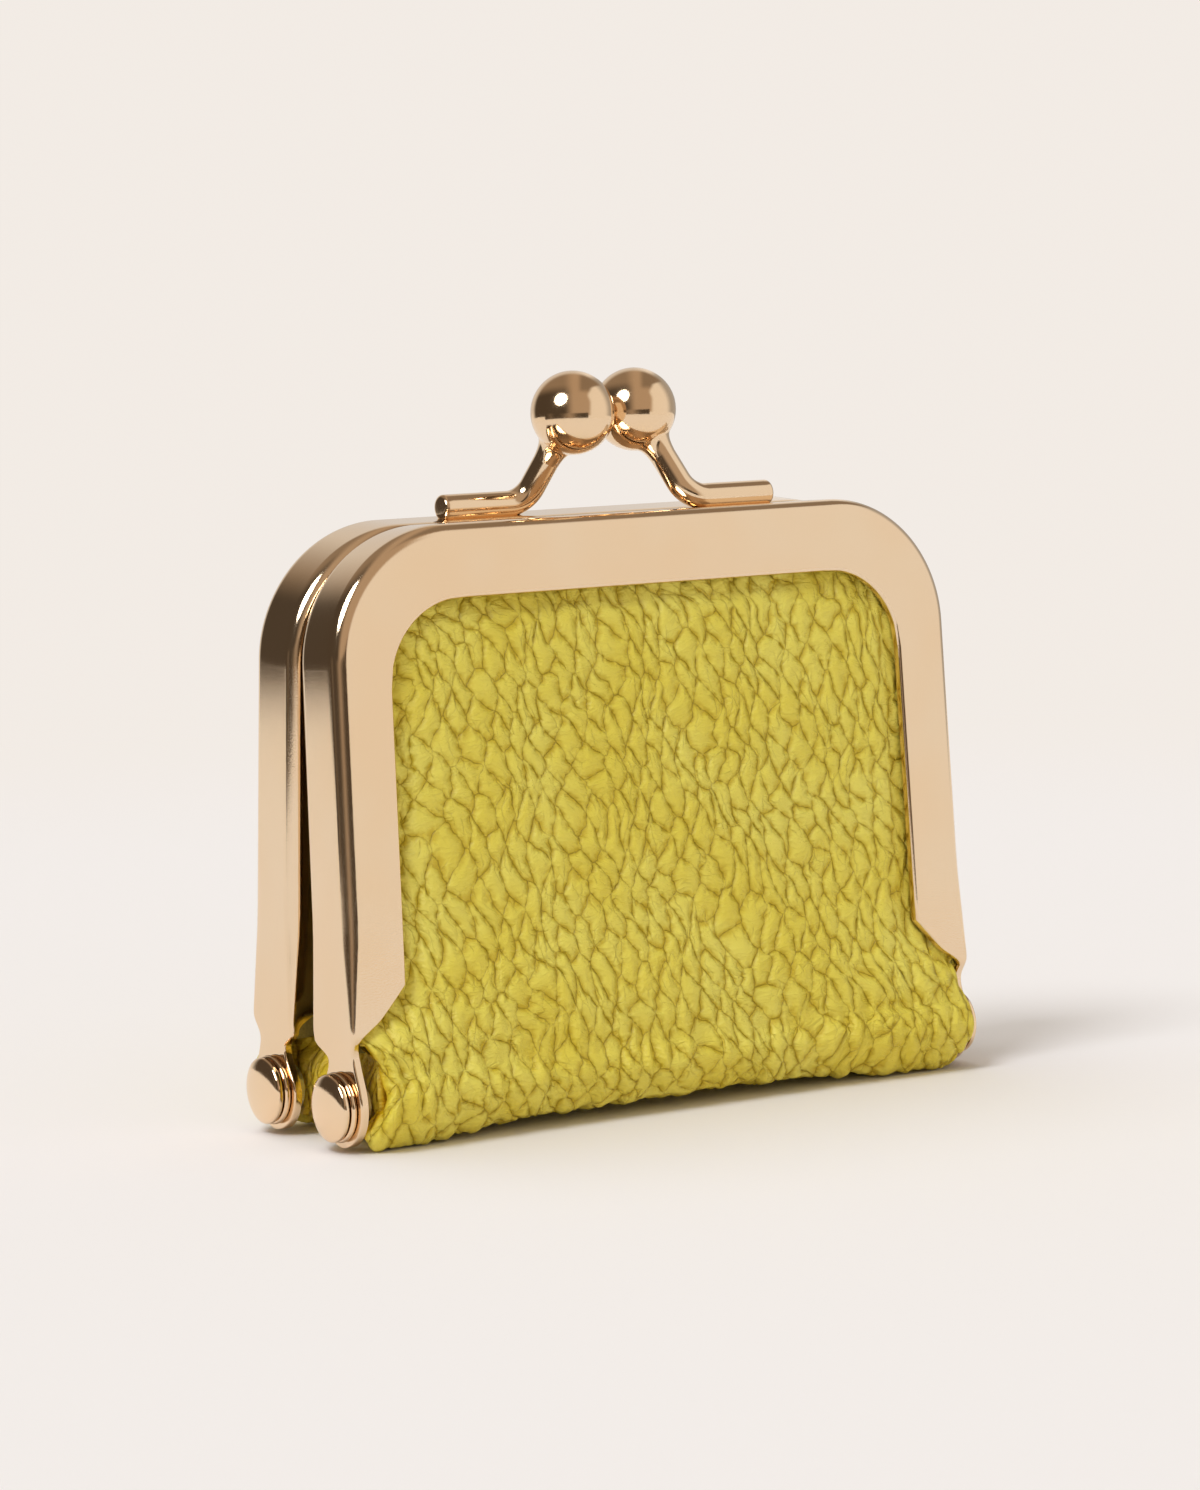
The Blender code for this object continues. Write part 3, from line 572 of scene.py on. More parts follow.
def channel_depth(height):
    return CHANNEL_DEPTH_TOP + CHANNEL_DEPTH_GROWTH * (FRAME_HEIGHT - height)


def front_edge_at(height):
    """Where the strip's front edge lies on the ear, the neck and the channel."""
    if height <= 0:
        return -ear_edge(height)
    pinch = ramp(height, *FRONT_PINCH) * (EAR_RADIUS - NECK_FRONT)
    flare = ramp(height, *FRONT_FLARE) * (FACE_TO_HINGE - NECK_FRONT)
    return -(EAR_RADIUS - pinch) - flare


def back_edge_at(height):
    if height <= 0:
        return ear_edge(height)
    pinch = ramp(height, *BACK_PINCH) * (EAR_RADIUS - NECK_BACK)
    flare = ramp(height, *BACK_FLARE) * (channel_depth(height) - FACE_TO_HINGE - NECK_BACK)
    return EAR_RADIUS - pinch + flare


def leg_station(height):
    """Outer place, inward direction, widths and depths of the strip at a height on the left leg."""
    channel = float(ramp(height, *CHANNEL_GROWTH))
    outside = EAR_OUTSIDE + float(ramp(height, *JOGGLE)) * (side_x(height) - EAR_OUTSIDE)
    flange = channel * (BACK_FLANGE_WIDTH - SHEET) * float(ramp(height, *FLANGE_GROWTH))
    start, length = SHOULDER_GROWTH
    return {
        "outer": (-outside, height),
        "inward": (1.0, 0.0),
        "face": SHEET + channel * (float(face_width_at(height)) - SHEET),
        "back": SHEET + flange,
        "front_y": front_edge_at(height),
        "back_y": back_edge_at(height),
        "channel": channel,
        "rounding": float(np.clip((height - start) / length, 0.0, 1.0)),
    }


def width_to_opening(outer, inward):
    """The face's width at a place on the arch, found by halving the way to the opening's edge."""
    low, high = 0.0, 3 * FACE_WIDTH_TOP
    for _ in range(40):
        middle = (low + high) / 2
        inside = inside_opening(outer[0] + inward[0] * middle, outer[1] + inward[1] * middle)
        low, high = (low, middle) if inside > 0 else (middle, high)
    return high


def arch_station(outer, inward):
    return {
        "outer": outer,
        "inward": inward,
        "face": width_to_opening(outer, inward),
        "back": BACK_FLANGE_WIDTH,
        "front_y": -FACE_TO_HINGE,
        "back_y": channel_depth(outer[1]) - FACE_TO_HINGE,
        "channel": 1.0,
        "rounding": 1.0,
    }


corner_h = FRAME_HEIGHT - FRAME_CORNER_RADIUS
corner_x = side_x(corner_h) - FRAME_CORNER_RADIUS
ear_turns = [math.radians(EAR_START + (90 - EAR_START) * i / EAR_ROWS) for i in range(EAR_ROWS + 1)]
heights = [-EAR_RADIUS * math.cos(turn) for turn in ear_turns]
heights += [FLANGE_END_HEIGHT * (i + 1) / NECK_ROWS for i in range(NECK_ROWS)]
slant_rise = FLANGE_CORNER_HEIGHT - FLANGE_END_HEIGHT
heights += [
    FLANGE_END_HEIGHT + slant_rise * ((i + 1) / SLANT_ROWS) ** SLANT_CROWDING for i in range(SLANT_ROWS)
]
leg_rise = corner_h - FLANGE_CORNER_HEIGHT
heights += [FLANGE_CORNER_HEIGHT + leg_rise * (i + 1) / LEG_ROWS for i in range(LEG_ROWS - 1)]
stations = [leg_station(height) for height in heights]
for i in range(CORNER_ROWS + 1):
    angle = math.radians(180 - 90 * i / CORNER_ROWS)
    outward = (math.cos(angle), math.sin(angle))
    outer = (-corner_x + FRAME_CORNER_RADIUS * outward[0], corner_h + FRAME_CORNER_RADIUS * outward[1])
    stations.append(arch_station(outer, (-outward[0], -outward[1])))
for i in range(1, CROWN_ROWS + 1):
    stations.append(arch_station((-corner_x * (1 - i / CROWN_ROWS), FRAME_HEIGHT), (0.0, -1.0)))
print("stations on half an arch", len(stations))

# %% The strip's section and its surface
ROUND_STEPS = 10
EDGE_ROUND = 0.40 * MM
EDGE_STEPS = 4
FLAT_MARGIN = 0.12 * MM
FILLET_INSIDE = 0.25 * MM
EAR_WALL = 0.05 * MM
LEAST_FLAT = 0.02 * MM
LEAST_FILLET = 0.01 * MM
# Shares that keep the section's parts from running into each other where it is narrow.
DEPTH_SHARE = 0.45
SHOULDER_SHARE = 0.62
WALL_SHARE = 0.6
EDGE_SHARES = (0.8, 0.5)
MARGIN_SHARE = 0.1
SHARP = math.radians(32)
HOLE_RADIUS = 1.6 * MM
HOLE_SIDES = 48
DRILL_ENDS = (FRAME_HALF_WIDTH * 0.9, FRAME_HALF_WIDTH * 1.1)


def quarter(radius):
    """A shoulder's quarter turn from the face to the web, as (inward, outward from its centre)."""
    angles = [math.pi / 2 * (1 + i / ROUND_STEPS) for i in range(ROUND_STEPS + 1)]
    return [(radius + radius * math.cos(a), radius * math.sin(a)) for a in angles]


def strip_ring(station):
    """The section's points in the frame's own places, once round."""
    front, back = station["front_y"], station["back_y"]
    face, rear, channel = station["face"], station["back"], station["channel"]
    slack = (back - front) * DEPTH_SHARE
    narrow = min(face, rear)
    shoulder = PLATE_EDGE + station["rounding"] * (SHOULDER_RADIUS - PLATE_EDGE)
    shoulder = min(shoulder, slack, SHOULDER_SHARE * narrow)
    inner = min(SHEET * channel + EAR_WALL * (1 - channel), slack * WALL_SHARE)
    edge = min(EDGE_ROUND, inner * EDGE_SHARES[0], (narrow - shoulder) * EDGE_SHARES[1])
    fillet = FILLET_INSIDE * channel + LEAST_FILLET
    margin = min(FLAT_MARGIN, slack * MARGIN_SHARE)
    low = max(face - edge - FLAT_MARGIN, shoulder + LEAST_FLAT)
    high = max(rear - edge - FLAT_MARGIN, shoulder + LEAST_FLAT)
    turns = [math.pi / 2 * i / EDGE_STEPS for i in range(EDGE_STEPS + 1)]
    ring = [(face, front + inner)]
    ring += [(face - edge + edge * math.cos(a), front + edge - edge * math.sin(a)) for a in turns]
    ring += [(low, front), (min(shoulder + FLAT_MARGIN, low), front)]
    ring += [(m, front + shoulder - n) for m, n in quarter(shoulder)]
    ring += [(0.0, front + shoulder + margin), (0.0, back - shoulder - margin)]
    ring += [(m, back - shoulder + n) for m, n in reversed(quarter(shoulder))]
    ring += [(min(shoulder + FLAT_MARGIN, high), back)]
    ring += [(rear - edge + edge * math.cos(a), back - edge + edge * math.sin(a)) for a in reversed(turns)]
    ring += [(rear, back - inner), (SHEET + fillet, back - inner), (SHEET, back - inner - fillet)]
    ring += [(SHEET, front + inner + fillet), (SHEET + fillet, front + inner)]
    x, h = station["outer"]
    dx, dh = station["inward"]
    return [(x + dx * m, y, h + dh * m) for m, y in ring]


def loft(rings):
    """Points and faces of a closed solid through rings of like counts."""
    count = len(rings[0])
    points = [p for ring in rings for p in ring]
    ends = [tuple(range(count)), tuple(range(len(points) - 1, len(points) - count - 1, -1))]
    return points, band_faces(len(rings), count) + ends


def facing_out(obj):
    """Closes doubles and turns every face outwards."""
    work = bmesh.new()
    work.from_mesh(obj.data)
    bmesh.ops.remove_doubles(work, verts=work.verts, dist=0.0005 * MM)
    bmesh.ops.recalc_face_normals(work, faces=work.faces)
    work.to_mesh(obj.data)
    work.free()
    return obj


def applied(obj):
    """The mesh that an object's modifiers make of it."""
    bpy.context.view_layer.update()
    graph = bpy.context.evaluated_depsgraph_get()
    return bpy.data.meshes.new_from_object(obj.evaluated_get(graph))


def drill_rivet_holes(strip, turn):
    """Drills the strip's two ears along X."""
    hole = [2 * math.pi * i / HOLE_SIDES for i in range(HOLE_SIDES)]
    points, faces = [], []
    for sign in (-1, 1):
        rod_points, rod_faces = loft([
            [(sign * x, HOLE_RADIUS * math.cos(a), HOLE_RADIUS * math.sin(a)) for a in hole]
            for x in DRILL_ENDS
        ])
        faces += [tuple(len(points) + corner for corner in face) for face in rod_faces]
        points += rod_points
    drill = facing_out(make_object("drill", turn(to_world(points)), faces, FRAME_GOLD))
    cut = strip.modifiers.new("holes", "BOOLEAN")
    cut.operation = "DIFFERENCE"
    cut.solver = "EXACT"
    cut.object = drill
    mesh = applied(strip)
    strip.modifiers.clear()
    strip.data = mesh
    bpy.data.objects.remove(drill, do_unlink=True)


left_rings = [strip_ring(s) for s in stations]
right_rings = [[(-x, y, h) for x, y, h in ring] for ring in reversed(left_rings[:-1])]
strip_points, strip_faces = loft(left_rings + right_rings)
for side, turn in FRONT_AND_REAR:
    strip = make_object(side + "_frame_strip", turn(to_world(strip_points)), strip_faces, FRAME_GOLD)
    facing_out(strip)
    drill_rivet_holes(strip, turn)
    strip.data.set_sharp_from_angle(angle=SHARP)
    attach(strip, side + "_half")
    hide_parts(side + "_frame")
    print(strip.name, len(strip.data.polygons), "faces")

# %% [markdown]
# The clasp is turned and bent work: a rod lies along the top of each frame, turns up at its elbow
# and ends in a ball, with a smooth fillet of solder where they meet. The rod is a path with a width
# at each place, rounded off at the free end, so Geometry Nodes sweep it.

# %% Rod and ball
ROD_RADIUS = 1.42 * MM
ROD_SIDES = 40
ROD_SUNK = 0.26 * MM
ROD_FOOT_X = 18.9 * MM
ROD_CORNER_X = 8.3 * MM
ROD_BEND_RADIUS = 3.0 * MM
ROD_SET_IN = 4.14 * MM
ROD_STEPS = 16
BEND_STEPS = 28
POST_STEPS = 20
POST_END = 0.9
ROD_END_ROUND = 0.5 * MM
END_STEPS = 6


def new_geometry_tree(name, inputs):
    """A geometry tree with named inputs: (label, socket kind, default)."""
    tree = bpy.data.node_groups.new(name, "GeometryNodeTree")
    tree.interface.new_socket("Geometry", in_out="INPUT", socket_type="NodeSocketGeometry")
    for label, kind, default in inputs:
        socket = tree.interface.new_socket(label, in_out="INPUT", socket_type=kind)
        socket.default_value = default
    tree.interface.new_socket("Geometry", in_out="OUTPUT", socket_type="NodeSocketGeometry")
    return tree, tree.nodes.new("NodeGroupInput"), tree.nodes.new("NodeGroupOutput")


def stored(tree, name, kind="FLOAT"):
    """What is stored on the geometry under a name."""
    node = add_node(tree, "GeometryNodeInputNamedAttribute", {"Name": name}, data_type=kind)
    return node.outputs["Attribute"]


def close_tree(tree, group_out, geometry, material):
    """Ends a tree in real geometry with its finish."""
    real = add_node(tree, "GeometryNodeRealizeInstances", {0: geometry})
    finish = add_node(tree, "GeometryNodeSetMaterial", {"Geometry": real.outputs[0], "Material": material})
    tree.links.new(finish.outputs[0], group_out.inputs[0])


def grow(obj, tree, values):
    """The plain mesh that a tree makes of an object, under the object's name."""
    modifier = obj.modifiers.new(tree.name, "NODES")
    modifier.node_group = tree
    for item in tree.interface.items_tree:
        if item.item_type == "SOCKET" and item.in_out == "INPUT" and item.name in values:
            modifier[item.identifier] = values[item.name]
    mesh = applied(obj)
    name = obj.name
    bpy.data.objects.remove(obj, do_unlink=True)
    mesh.name = name
    grown = bpy.data.objects.new(name, mesh)
    scene.collection.objects.link(grown)
    return grown


def path_curve(name, places, widths):
    """A curve through places, each with its share of the full width."""
    curve = bpy.data.curves.new(name, "CURVE")
    curve.dimensions = "3D"
    spline = curve.splines.new("POLY")
    spline.points.add(len(places) - 1)
    for point, place, width in zip(spline.points, places, widths):
        point.co = (*place, 1.0)
        point.radius = width
    path = bpy.data.objects.new(name, curve)
    scene.collection.objects.link(path)
    return path


def front_local(point):
    """A place in the row frame, measured from the front hinge axis of an upright frame."""
    y, z = point.y + HINGE_SPACING, point.z - HINGE_HEIGHT
    return Vector((point.x, y * math.cos(LEAN) - z * math.sin(LEAN), z * math.cos(LEAN) + y * math.sin(LEAN)))


low, high = (Vector(corner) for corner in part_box("front_clasp_ball"))
BALL_RADIUS = (high.z - low.z) / 2
ball = front_local((low + high) / 2)
seat = FRAME_HEIGHT + ROD_RADIUS - ROD_SUNK
foot = Vector((ROD_FOOT_X, ROD_SET_IN - FACE_TO_HINGE, seat))
corner = Vector((ROD_CORNER_X, ROD_SET_IN - FACE_TO_HINGE, seat))
along = (corner - foot).normalized()
upward = (ball - corner).normalized()
turn_angle = math.acos(along.dot(upward))
bend_centre = corner + (upward - along).normalized() * ROD_BEND_RADIUS / math.cos(turn_angle / 2)
bend_axis = along.cross(upward).normalized()
bend_start = corner - along * ROD_BEND_RADIUS * math.tan(turn_angle / 2)
end_turns = [math.pi / 2 * i / END_STEPS for i in range(END_STEPS)]
rod_route = [foot + along * ROD_END_ROUND * (1 - math.cos(turn)) for turn in end_turns]
rod_route += [(foot + along * ROD_END_ROUND).lerp(bend_start, i / ROD_STEPS) for i in range(ROD_STEPS)]
for i in range(BEND_STEPS + 1):
    bent = Matrix.Rotation(turn_angle * i / BEND_STEPS, 3, bend_axis)
    rod_route.append(bend_centre + bent @ (bend_start - bend_centre))
bend_end = rod_route[-1]
rod_end = ball - upward * (BALL_RADIUS * POST_END)
rod_route += [bend_end.lerp(rod_end, (i + 1) / POST_STEPS) for i in range(POST_STEPS)]

rod_tree, group_in, group_out = new_geometry_tree("swept_rod", [
    ("Radius", "NodeSocketFloat", ROD_RADIUS),
    ("Sides", "NodeSocketInt", ROD_SIDES),
])
circle = add_node(rod_tree, "GeometryNodeCurvePrimitiveCircle", {
    "Resolution": group_in.outputs["Sides"], "Radius": group_in.outputs["Radius"],
})
sweep = add_node(rod_tree, "GeometryNodeCurveToMesh", {
    "Curve": group_in.outputs["Geometry"], "Profile Curve": circle.outputs[0], "Fill Caps": True,
    "Scale": stored(rod_tree, "radius"),
})
smooth = add_node(rod_tree, "GeometryNodeSetShadeSmooth", {"Geometry": sweep.outputs[0]})
close_tree(rod_tree, group_out, smooth.outputs[0], CLASP_GOLD)


def rod_width(point):
    """The rod's radius as a share of its own, rounded off at the free end."""
    short = max(0.0, ROD_END_ROUND - (point - foot).length)
    inset = ROD_END_ROUND - math.sqrt(ROD_END_ROUND ** 2 - short ** 2)
    return 1 - inset / ROD_RADIUS


rod_widths = [rod_width(point) for point in rod_route]
for side, turn in FRONT_AND_REAR:
    rod = path_curve(side + "_rod", turn(to_world(rod_route)), rod_widths)
    rod = grow(rod, rod_tree, {"Radius": ROD_RADIUS, "Sides": ROD_SIDES})
    facing_out(rod)
    rod.data.set_sharp_from_angle(angle=math.radians(50))
    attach(rod, side + "_half")
    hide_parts(side + "_clasp_post")
    print(rod.name, len(rod.data.polygons), "faces")

# %% [markdown]
# The ball is lathe work, so it is a profile turned about the line of its rod. The profile leaves
# the sphere near the rod and sweeps down in a hollow curve, which is the solder.

# %% Turned ball with its collar
TURN_STEPS = 72
BALL_STEPS = 48
COLLAR_STEPS = 12
COLLAR_ANGLE = math.radians(151)
COLLAR_LENGTH = 1.5 * MM
COLLAR_FIT = 1.01
COLLAR_PULL_BACK = 0.30 * MM
COLLAR_PULL_OUT = 0.10 * MM


def turned(profile, axis_start, axis_direction):
    """A closed surface from (along, radius) pairs turned about an axis, poles at both ends."""
    axis = axis_direction.normalized()
    side_a = axis.orthogonal().normalized()
    side_b = axis.cross(side_a)
    points = [axis_start + axis * profile[0][0]]
    for along_axis, radius in profile[1:-1]:
        for i in range(TURN_STEPS):
            angle = 2 * math.pi * i / TURN_STEPS
            spoke = side_a * math.cos(angle) + side_b * math.sin(angle)
            points.append(axis_start + axis * along_axis + spoke * radius)
    points.append(axis_start + axis * profile[-1][0])
    pole = len(points) - 1
    last = pole - TURN_STEPS
    neighbours = [(i, (i + 1) % TURN_STEPS) for i in range(TURN_STEPS)]
    faces = [(0, 1 + i, 1 + k) for i, k in neighbours]
    faces += band_faces(len(profile) - 2, TURN_STEPS, start=1)
    faces += [(last + i, pole, last + k) for i, k in neighbours]
    return points, faces


ball_profile = []
for i in range(BALL_STEPS + 1):
    angle = COLLAR_ANGLE * i / BALL_STEPS
    ball_profile.append((BALL_RADIUS * math.cos(angle), BALL_RADIUS * math.sin(angle)))
collar_start = ball_profile[-1]
collar_end = (-BALL_RADIUS - COLLAR_LENGTH, ROD_RADIUS * COLLAR_FIT)
collar_pull = (collar_start[0] - COLLAR_PULL_BACK, collar_end[1] + COLLAR_PULL_OUT)
for i in range(1, COLLAR_STEPS + 1):
    t = i / COLLAR_STEPS
    shares = ((1 - t) ** 2, 2 * t * (1 - t), t * t)
    corners = zip(collar_start, collar_pull, collar_end)
    ball_profile.append(tuple(sum(s * c for s, c in zip(shares, three)) for three in corners))
ball_profile.append((collar_end[0], 0.0))
ball_points, ball_faces = turned(ball_profile, ball, upward)
for side, turn in FRONT_AND_REAR:
    knob = make_object(side + "_ball", turn(to_world(ball_points)), ball_faces, CLASP_GOLD)
    facing_out(knob)
    knob.data.set_sharp_from_angle(angle=math.radians(60))
    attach(knob, side + "_half")
    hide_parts(side + "_clasp_ball")
    print(knob.name, len(knob.data.polygons), "faces")

# %% [markdown]
# Four rivets carry the frames. One rivet is turned from a profile, and Geometry Nodes place it at
# the two hinge points of one end and, turned round, at those of the other. The washers are placed
# by the same tree.

# %% Rivets and washers
rivet_low, rivet_high = (Vector(corner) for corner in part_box("front_right_rivet"))
washer_low, washer_high = (Vector(corner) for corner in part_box("front_right_rivet_washer"))
HEAD_RADIUS = (rivet_high.z - rivet_low.z) / 2
HEAD_APEX = rivet_high.x
HEAD_SEAT = washer_high.x + 0.2 * MM
HEAD_RIM = 0.35 * MM
HEAD_STEPS = 16
DOME_FULLNESS = 0.9
SHANK_RADIUS = 1.3 * MM
TAIL_X = rivet_low.x
# The set tail's outline from its far end, as (inward along the rivet, radius).
TAIL = ((0.5 * MM, 1.8 * MM), (0.2 * MM, 1.9 * MM), (0.0, 1.6 * MM), (0.0, 0.0))
# The underside of the head's rim, as (above the seat, in from the rim).
RIM_UNDERSIDE = ((0.12 * MM, 0.0), (0.03 * MM, 0.05 * MM), (0.0, 0.18 * MM))
WASHER_RADIUS = (washer_high.z - washer_low.z) / 2
WASHER_LIFT = 0.05 * MM
WASHER_ROUND_STEPS = 8
WASHER_ROUND = 0.8


def dome_profile():
    """The rivet as (along X, radius), from the crown of its head to its set tail."""
    rise = HEAD_APEX - HEAD_SEAT - HEAD_RIM
    profile = [(HEAD_APEX, 0.0)]
    for i in range(1, HEAD_STEPS + 1):
        angle = math.pi / 2 * i / HEAD_STEPS
        height = rise * math.cos(angle) ** DOME_FULLNESS
        profile.append((HEAD_SEAT + HEAD_RIM + height, HEAD_RADIUS * math.sin(angle)))
    profile += [(HEAD_SEAT + above, HEAD_RADIUS - inset) for above, inset in RIM_UNDERSIDE]
    profile += [(HEAD_SEAT, SHANK_RADIUS), (TAIL_X + TAIL[0][0], SHANK_RADIUS)]
    return profile + [(TAIL_X + inward, radius) for inward, radius in TAIL]


def washer_points():
    """A ring with rounded rims: its section turned about X."""
    low_x, high_x = EAR_OUTSIDE + WASHER_LIFT, washer_high.x
    middle, half = (low_x + high_x) / 2, (high_x - low_x) / 2
    bulge = half * WASHER_ROUND
    section = []
    for i in range(WASHER_ROUND_STEPS + 1):
        angle = math.radians(-90 + 180 * i / WASHER_ROUND_STEPS)
        section.append((middle + half * math.sin(angle), WASHER_RADIUS - bulge + bulge * math.cos(angle)))
    section += [(high_x, SHANK_RADIUS + GAP), (low_x, SHANK_RADIUS + GAP)]
    points = []
    for i in range(TURN_STEPS + 1):
        angle = 2 * math.pi * i / TURN_STEPS
        points += [(x, r * math.cos(angle), r * math.sin(angle)) for x, r in section]
    return points, band_faces(TURN_STEPS + 1, len(section))


def join_node(tree, parts):
    node = tree.nodes.new("GeometryNodeJoinGeometry")
    for part in parts:
        tree.links.new(part, node.inputs[0])
    return node.outputs[0]


place_tree, group_in, group_out = new_geometry_tree("at_each_hinge_point", [
    ("Half spacing", "NodeSocketFloat", HINGE_SPACING),
    ("Height", "NodeSocketFloat", HINGE_HEIGHT),
])
half_spacing = group_in.outputs["Half spacing"]
low_point = add_node(place_tree, "ShaderNodeCombineXYZ", {
    "Y": math_node(place_tree, "MULTIPLY", half_spacing, -1.0), "Z": group_in.outputs["Height"],
})
step = add_node(place_tree, "ShaderNodeCombineXYZ", {
    "Y": math_node(place_tree, "MULTIPLY", half_spacing, 2.0),
})
spots = add_node(place_tree, "GeometryNodeMeshLine", {
    "Count": 2, "Start Location": low_point.outputs[0], "Offset": step.outputs[0],
})
copies = add_node(place_tree, "GeometryNodeInstanceOnPoints", {
    "Points": spots.outputs[0], "Instance": group_in.outputs["Geometry"],
})
other_end = add_node(place_tree, "GeometryNodeTransform", {
    "Geometry": copies.outputs[0], "Rotation": (0.0, 0.0, math.pi),
})
both_ends = join_node(place_tree, [copies.outputs[0], other_end.outputs[0]])
close_tree(place_tree, group_out, both_ends, RIVET_GOLD)

corners = [f"{a}_{b}" for a in ("front", "rear") for b in ("left", "right")]
rivet_points, rivet_faces = turned(dome_profile(), Vector((0.0, 0.0, 0.0)), Vector((1.0, 0.0, 0.0)))
rivet = make_object("rivets", rivet_points, rivet_faces, RIVET_GOLD)
washer = make_object("rivet_washers", *washer_points(), RIVET_GOLD)
for piece, suffix in ((rivet, "_rivet"), (washer, "_rivet_washer")):
    facing_out(piece)
    piece.data.set_sharp_from_angle(angle=math.radians(40))
    piece = grow(piece, place_tree, {"Half spacing": HINGE_SPACING, "Height": HINGE_HEIGHT})
    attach(piece, "base")
    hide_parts(*[corner + suffix for corner in corners])
    print(piece.name, len(piece.data.polygons), "faces")

# %% [markdown]
# The leather is the pouch's whole character: lime goatskin with a bold pebble. Its grain is made of
# leaf-shaped pillows between creases that run steeply from upper left to lower right, crossed by
# shorter ones. The same nodes give the relief to the mesh and the colour to the shader, from a
# place on the hide in millimetres that is stored on the mesh, so that both always agree.

# %% Grain nodes, used by geometry and shader alike
LEAF_WIDTH = 2.85
LEAF_HEIGHT = 5.5
LEAF_LEAN = 0.2
JITTER = 0.53
CREASE_HALF_WIDTH = 0.052
VALLEY_HALF_WIDTH = 1.12
VALLEY_POWER = 1.9
EDGE_TO_MM = 1.15
SMALL_SHARE = 0.56
SMALL_LEAN = 0.15
SMALL_JITTER = 1.0
SMALL_SHIFT = (71.3, 37.9, 0.0)
SMALL_VALLEY_HALF_WIDTH = 0.30
SMALL_VALLEY_POWER = 2.0
SMALL_VALLEY_DEPTH = 0.20
SMALL_LINE = 0.30
# How finely and how far noise moves the pattern about, from broad to fine, in millimetres.
WARPS = ((0.085, 6.5), (0.37, 1.5), (1.7, 0.28))
STREAKS = (1.1, 3.4, 1.0)


def leaf_edges(tree, place, share, lean, jitter):
    """The distance in millimetres, roughly, to the nearest edge of leaf-shaped cells.

    A square lattice of cells is turned to stand on its corners, then stretched upright.
    """
    parts = add_node(tree, "ShaderNodeSeparateXYZ", {0: place})
    aside = plus(tree, parts.outputs["X"], parts.outputs["Y"], lean)
    unit = (share * LEAF_WIDTH / math.sqrt(2), share * LEAF_HEIGHT / math.sqrt(2))
    scaled = add_node(tree, "ShaderNodeCombineXYZ", {
        "X": math_node(tree, "DIVIDE", aside, unit[0]),
        "Y": math_node(tree, "DIVIDE", parts.outputs["Y"], unit[1]),
    })
    on_corner = add_node(tree, "ShaderNodeVectorRotate", {
        "Vector": scaled.outputs[0], "Angle": math.radians(45),
    }, rotation_type="Z_AXIS")
    cells = add_node(tree, "ShaderNodeTexVoronoi", {
        "Vector": on_corner.outputs[0], "Scale": 1.0, "Randomness": jitter,
    }, voronoi_dimensions="2D", feature="DISTANCE_TO_EDGE")
    return math_node(tree, "MULTIPLY", cells.outputs["Distance"], unit[0] * EDGE_TO_MM)


def shifted_by_noise(tree, place, scale, reach):
    """A place moved about by noise, by up to half a reach each way."""
    noise = add_node(tree, "ShaderNodeTexNoise", {"Vector": place, "Scale": scale, "Detail": 1.0})
    shift = vector_node(tree, "SUBTRACT", noise.outputs["Color"], (0.5, 0.5, 0.5))
    return vector_node(tree, "ADD", place, vector_node(tree, "MULTIPLY", shift, (reach, reach, 0.0)))


def valley_depth(tree, distance, half_width, power):
    """1 in the middle of a crease, falling to 0 at its valley's edge."""
    depth = math_node(tree, "SUBTRACT", 1.0, spread(tree, distance, 0.0, half_width, smooth=False))
    return math_node(tree, "POWER", depth, power)


def grain_fields(tree, place):
    """Relief from 0 in a crease to 1 on a pillow, how much of a crease line a place is, and streaks."""
    warped = place
    for scale, reach in WARPS:
        warped = shifted_by_noise(tree, warped, scale, reach)
    main = leaf_edges(tree, warped, 1.0, LEAF_LEAN, JITTER)
    apart = vector_node(tree, "ADD", warped, SMALL_SHIFT)
    small = leaf_edges(tree, apart, SMALL_SHARE, SMALL_LEAN, SMALL_JITTER)
    depth = spread(tree, noise_node(tree, place, 0.7, 2.0), 0.30, 0.62, 0.45, 1.0)
    torn = spread(tree, noise_node(tree, place, 0.33, 1.0), 0.42, 0.66)
    valley = valley_depth(tree, main, VALLEY_HALF_WIDTH, VALLEY_POWER)
    valley = math_node(tree, "MULTIPLY", valley, depth)
    small_valley = valley_depth(tree, small, SMALL_VALLEY_HALF_WIDTH, SMALL_VALLEY_POWER)
    small_valley = math_node(tree, "MULTIPLY", small_valley, torn)
    relief = math_node(tree, "SUBTRACT", 1.0, plus(tree, valley, small_valley, SMALL_VALLEY_DEPTH))
    line = math_node(tree, "MULTIPLY", spread(tree, main, CREASE_HALF_WIDTH, 0.0), depth)
    small_line = math_node(tree, "MULTIPLY", spread(tree, small, CREASE_HALF_WIDTH, 0.0), torn)
    line = math_node(tree, "MAXIMUM", line, math_node(tree, "MULTIPLY", small_line, SMALL_LINE))
    streaks = noise_node(tree, vector_node(tree, "MULTIPLY", warped, STREAKS), 1.0, 2.0)
    return relief, line, streaks


# %% Leather finish
LIME = (0.850, 0.692, 0.069)
LIME_LIGHT = (0.900, 0.780, 0.126)
# Painted shade: a deeper lime down each valley between the pillows.
LIME_VALLEY_SHADE = (0.680, 0.490, 0.020)
# Painted warm shade: the colour of light bounced between leather in the hollows where the skin turns in and
# on the gussets.
BOUNCE_SHADE_GOLD = (0.820, 0.520, 0.002)
# Painted shade for the thin crease lines.
CREASE_SHADE_BROWN = (0.330, 0.205, 0.006)
# Where on the relief the painted valley shade starts.
VALLEY_SHADE_START = 0.74
# How strongly the painted crease shade is laid on.
CREASE_SHADE_SHARE = 0.46
STREAK_RELIEF = 0.5
PORE_RELIEF = 0.12
LINE_RELIEF = -0.16
LEATHER_RELIEF = 0.38 * MM


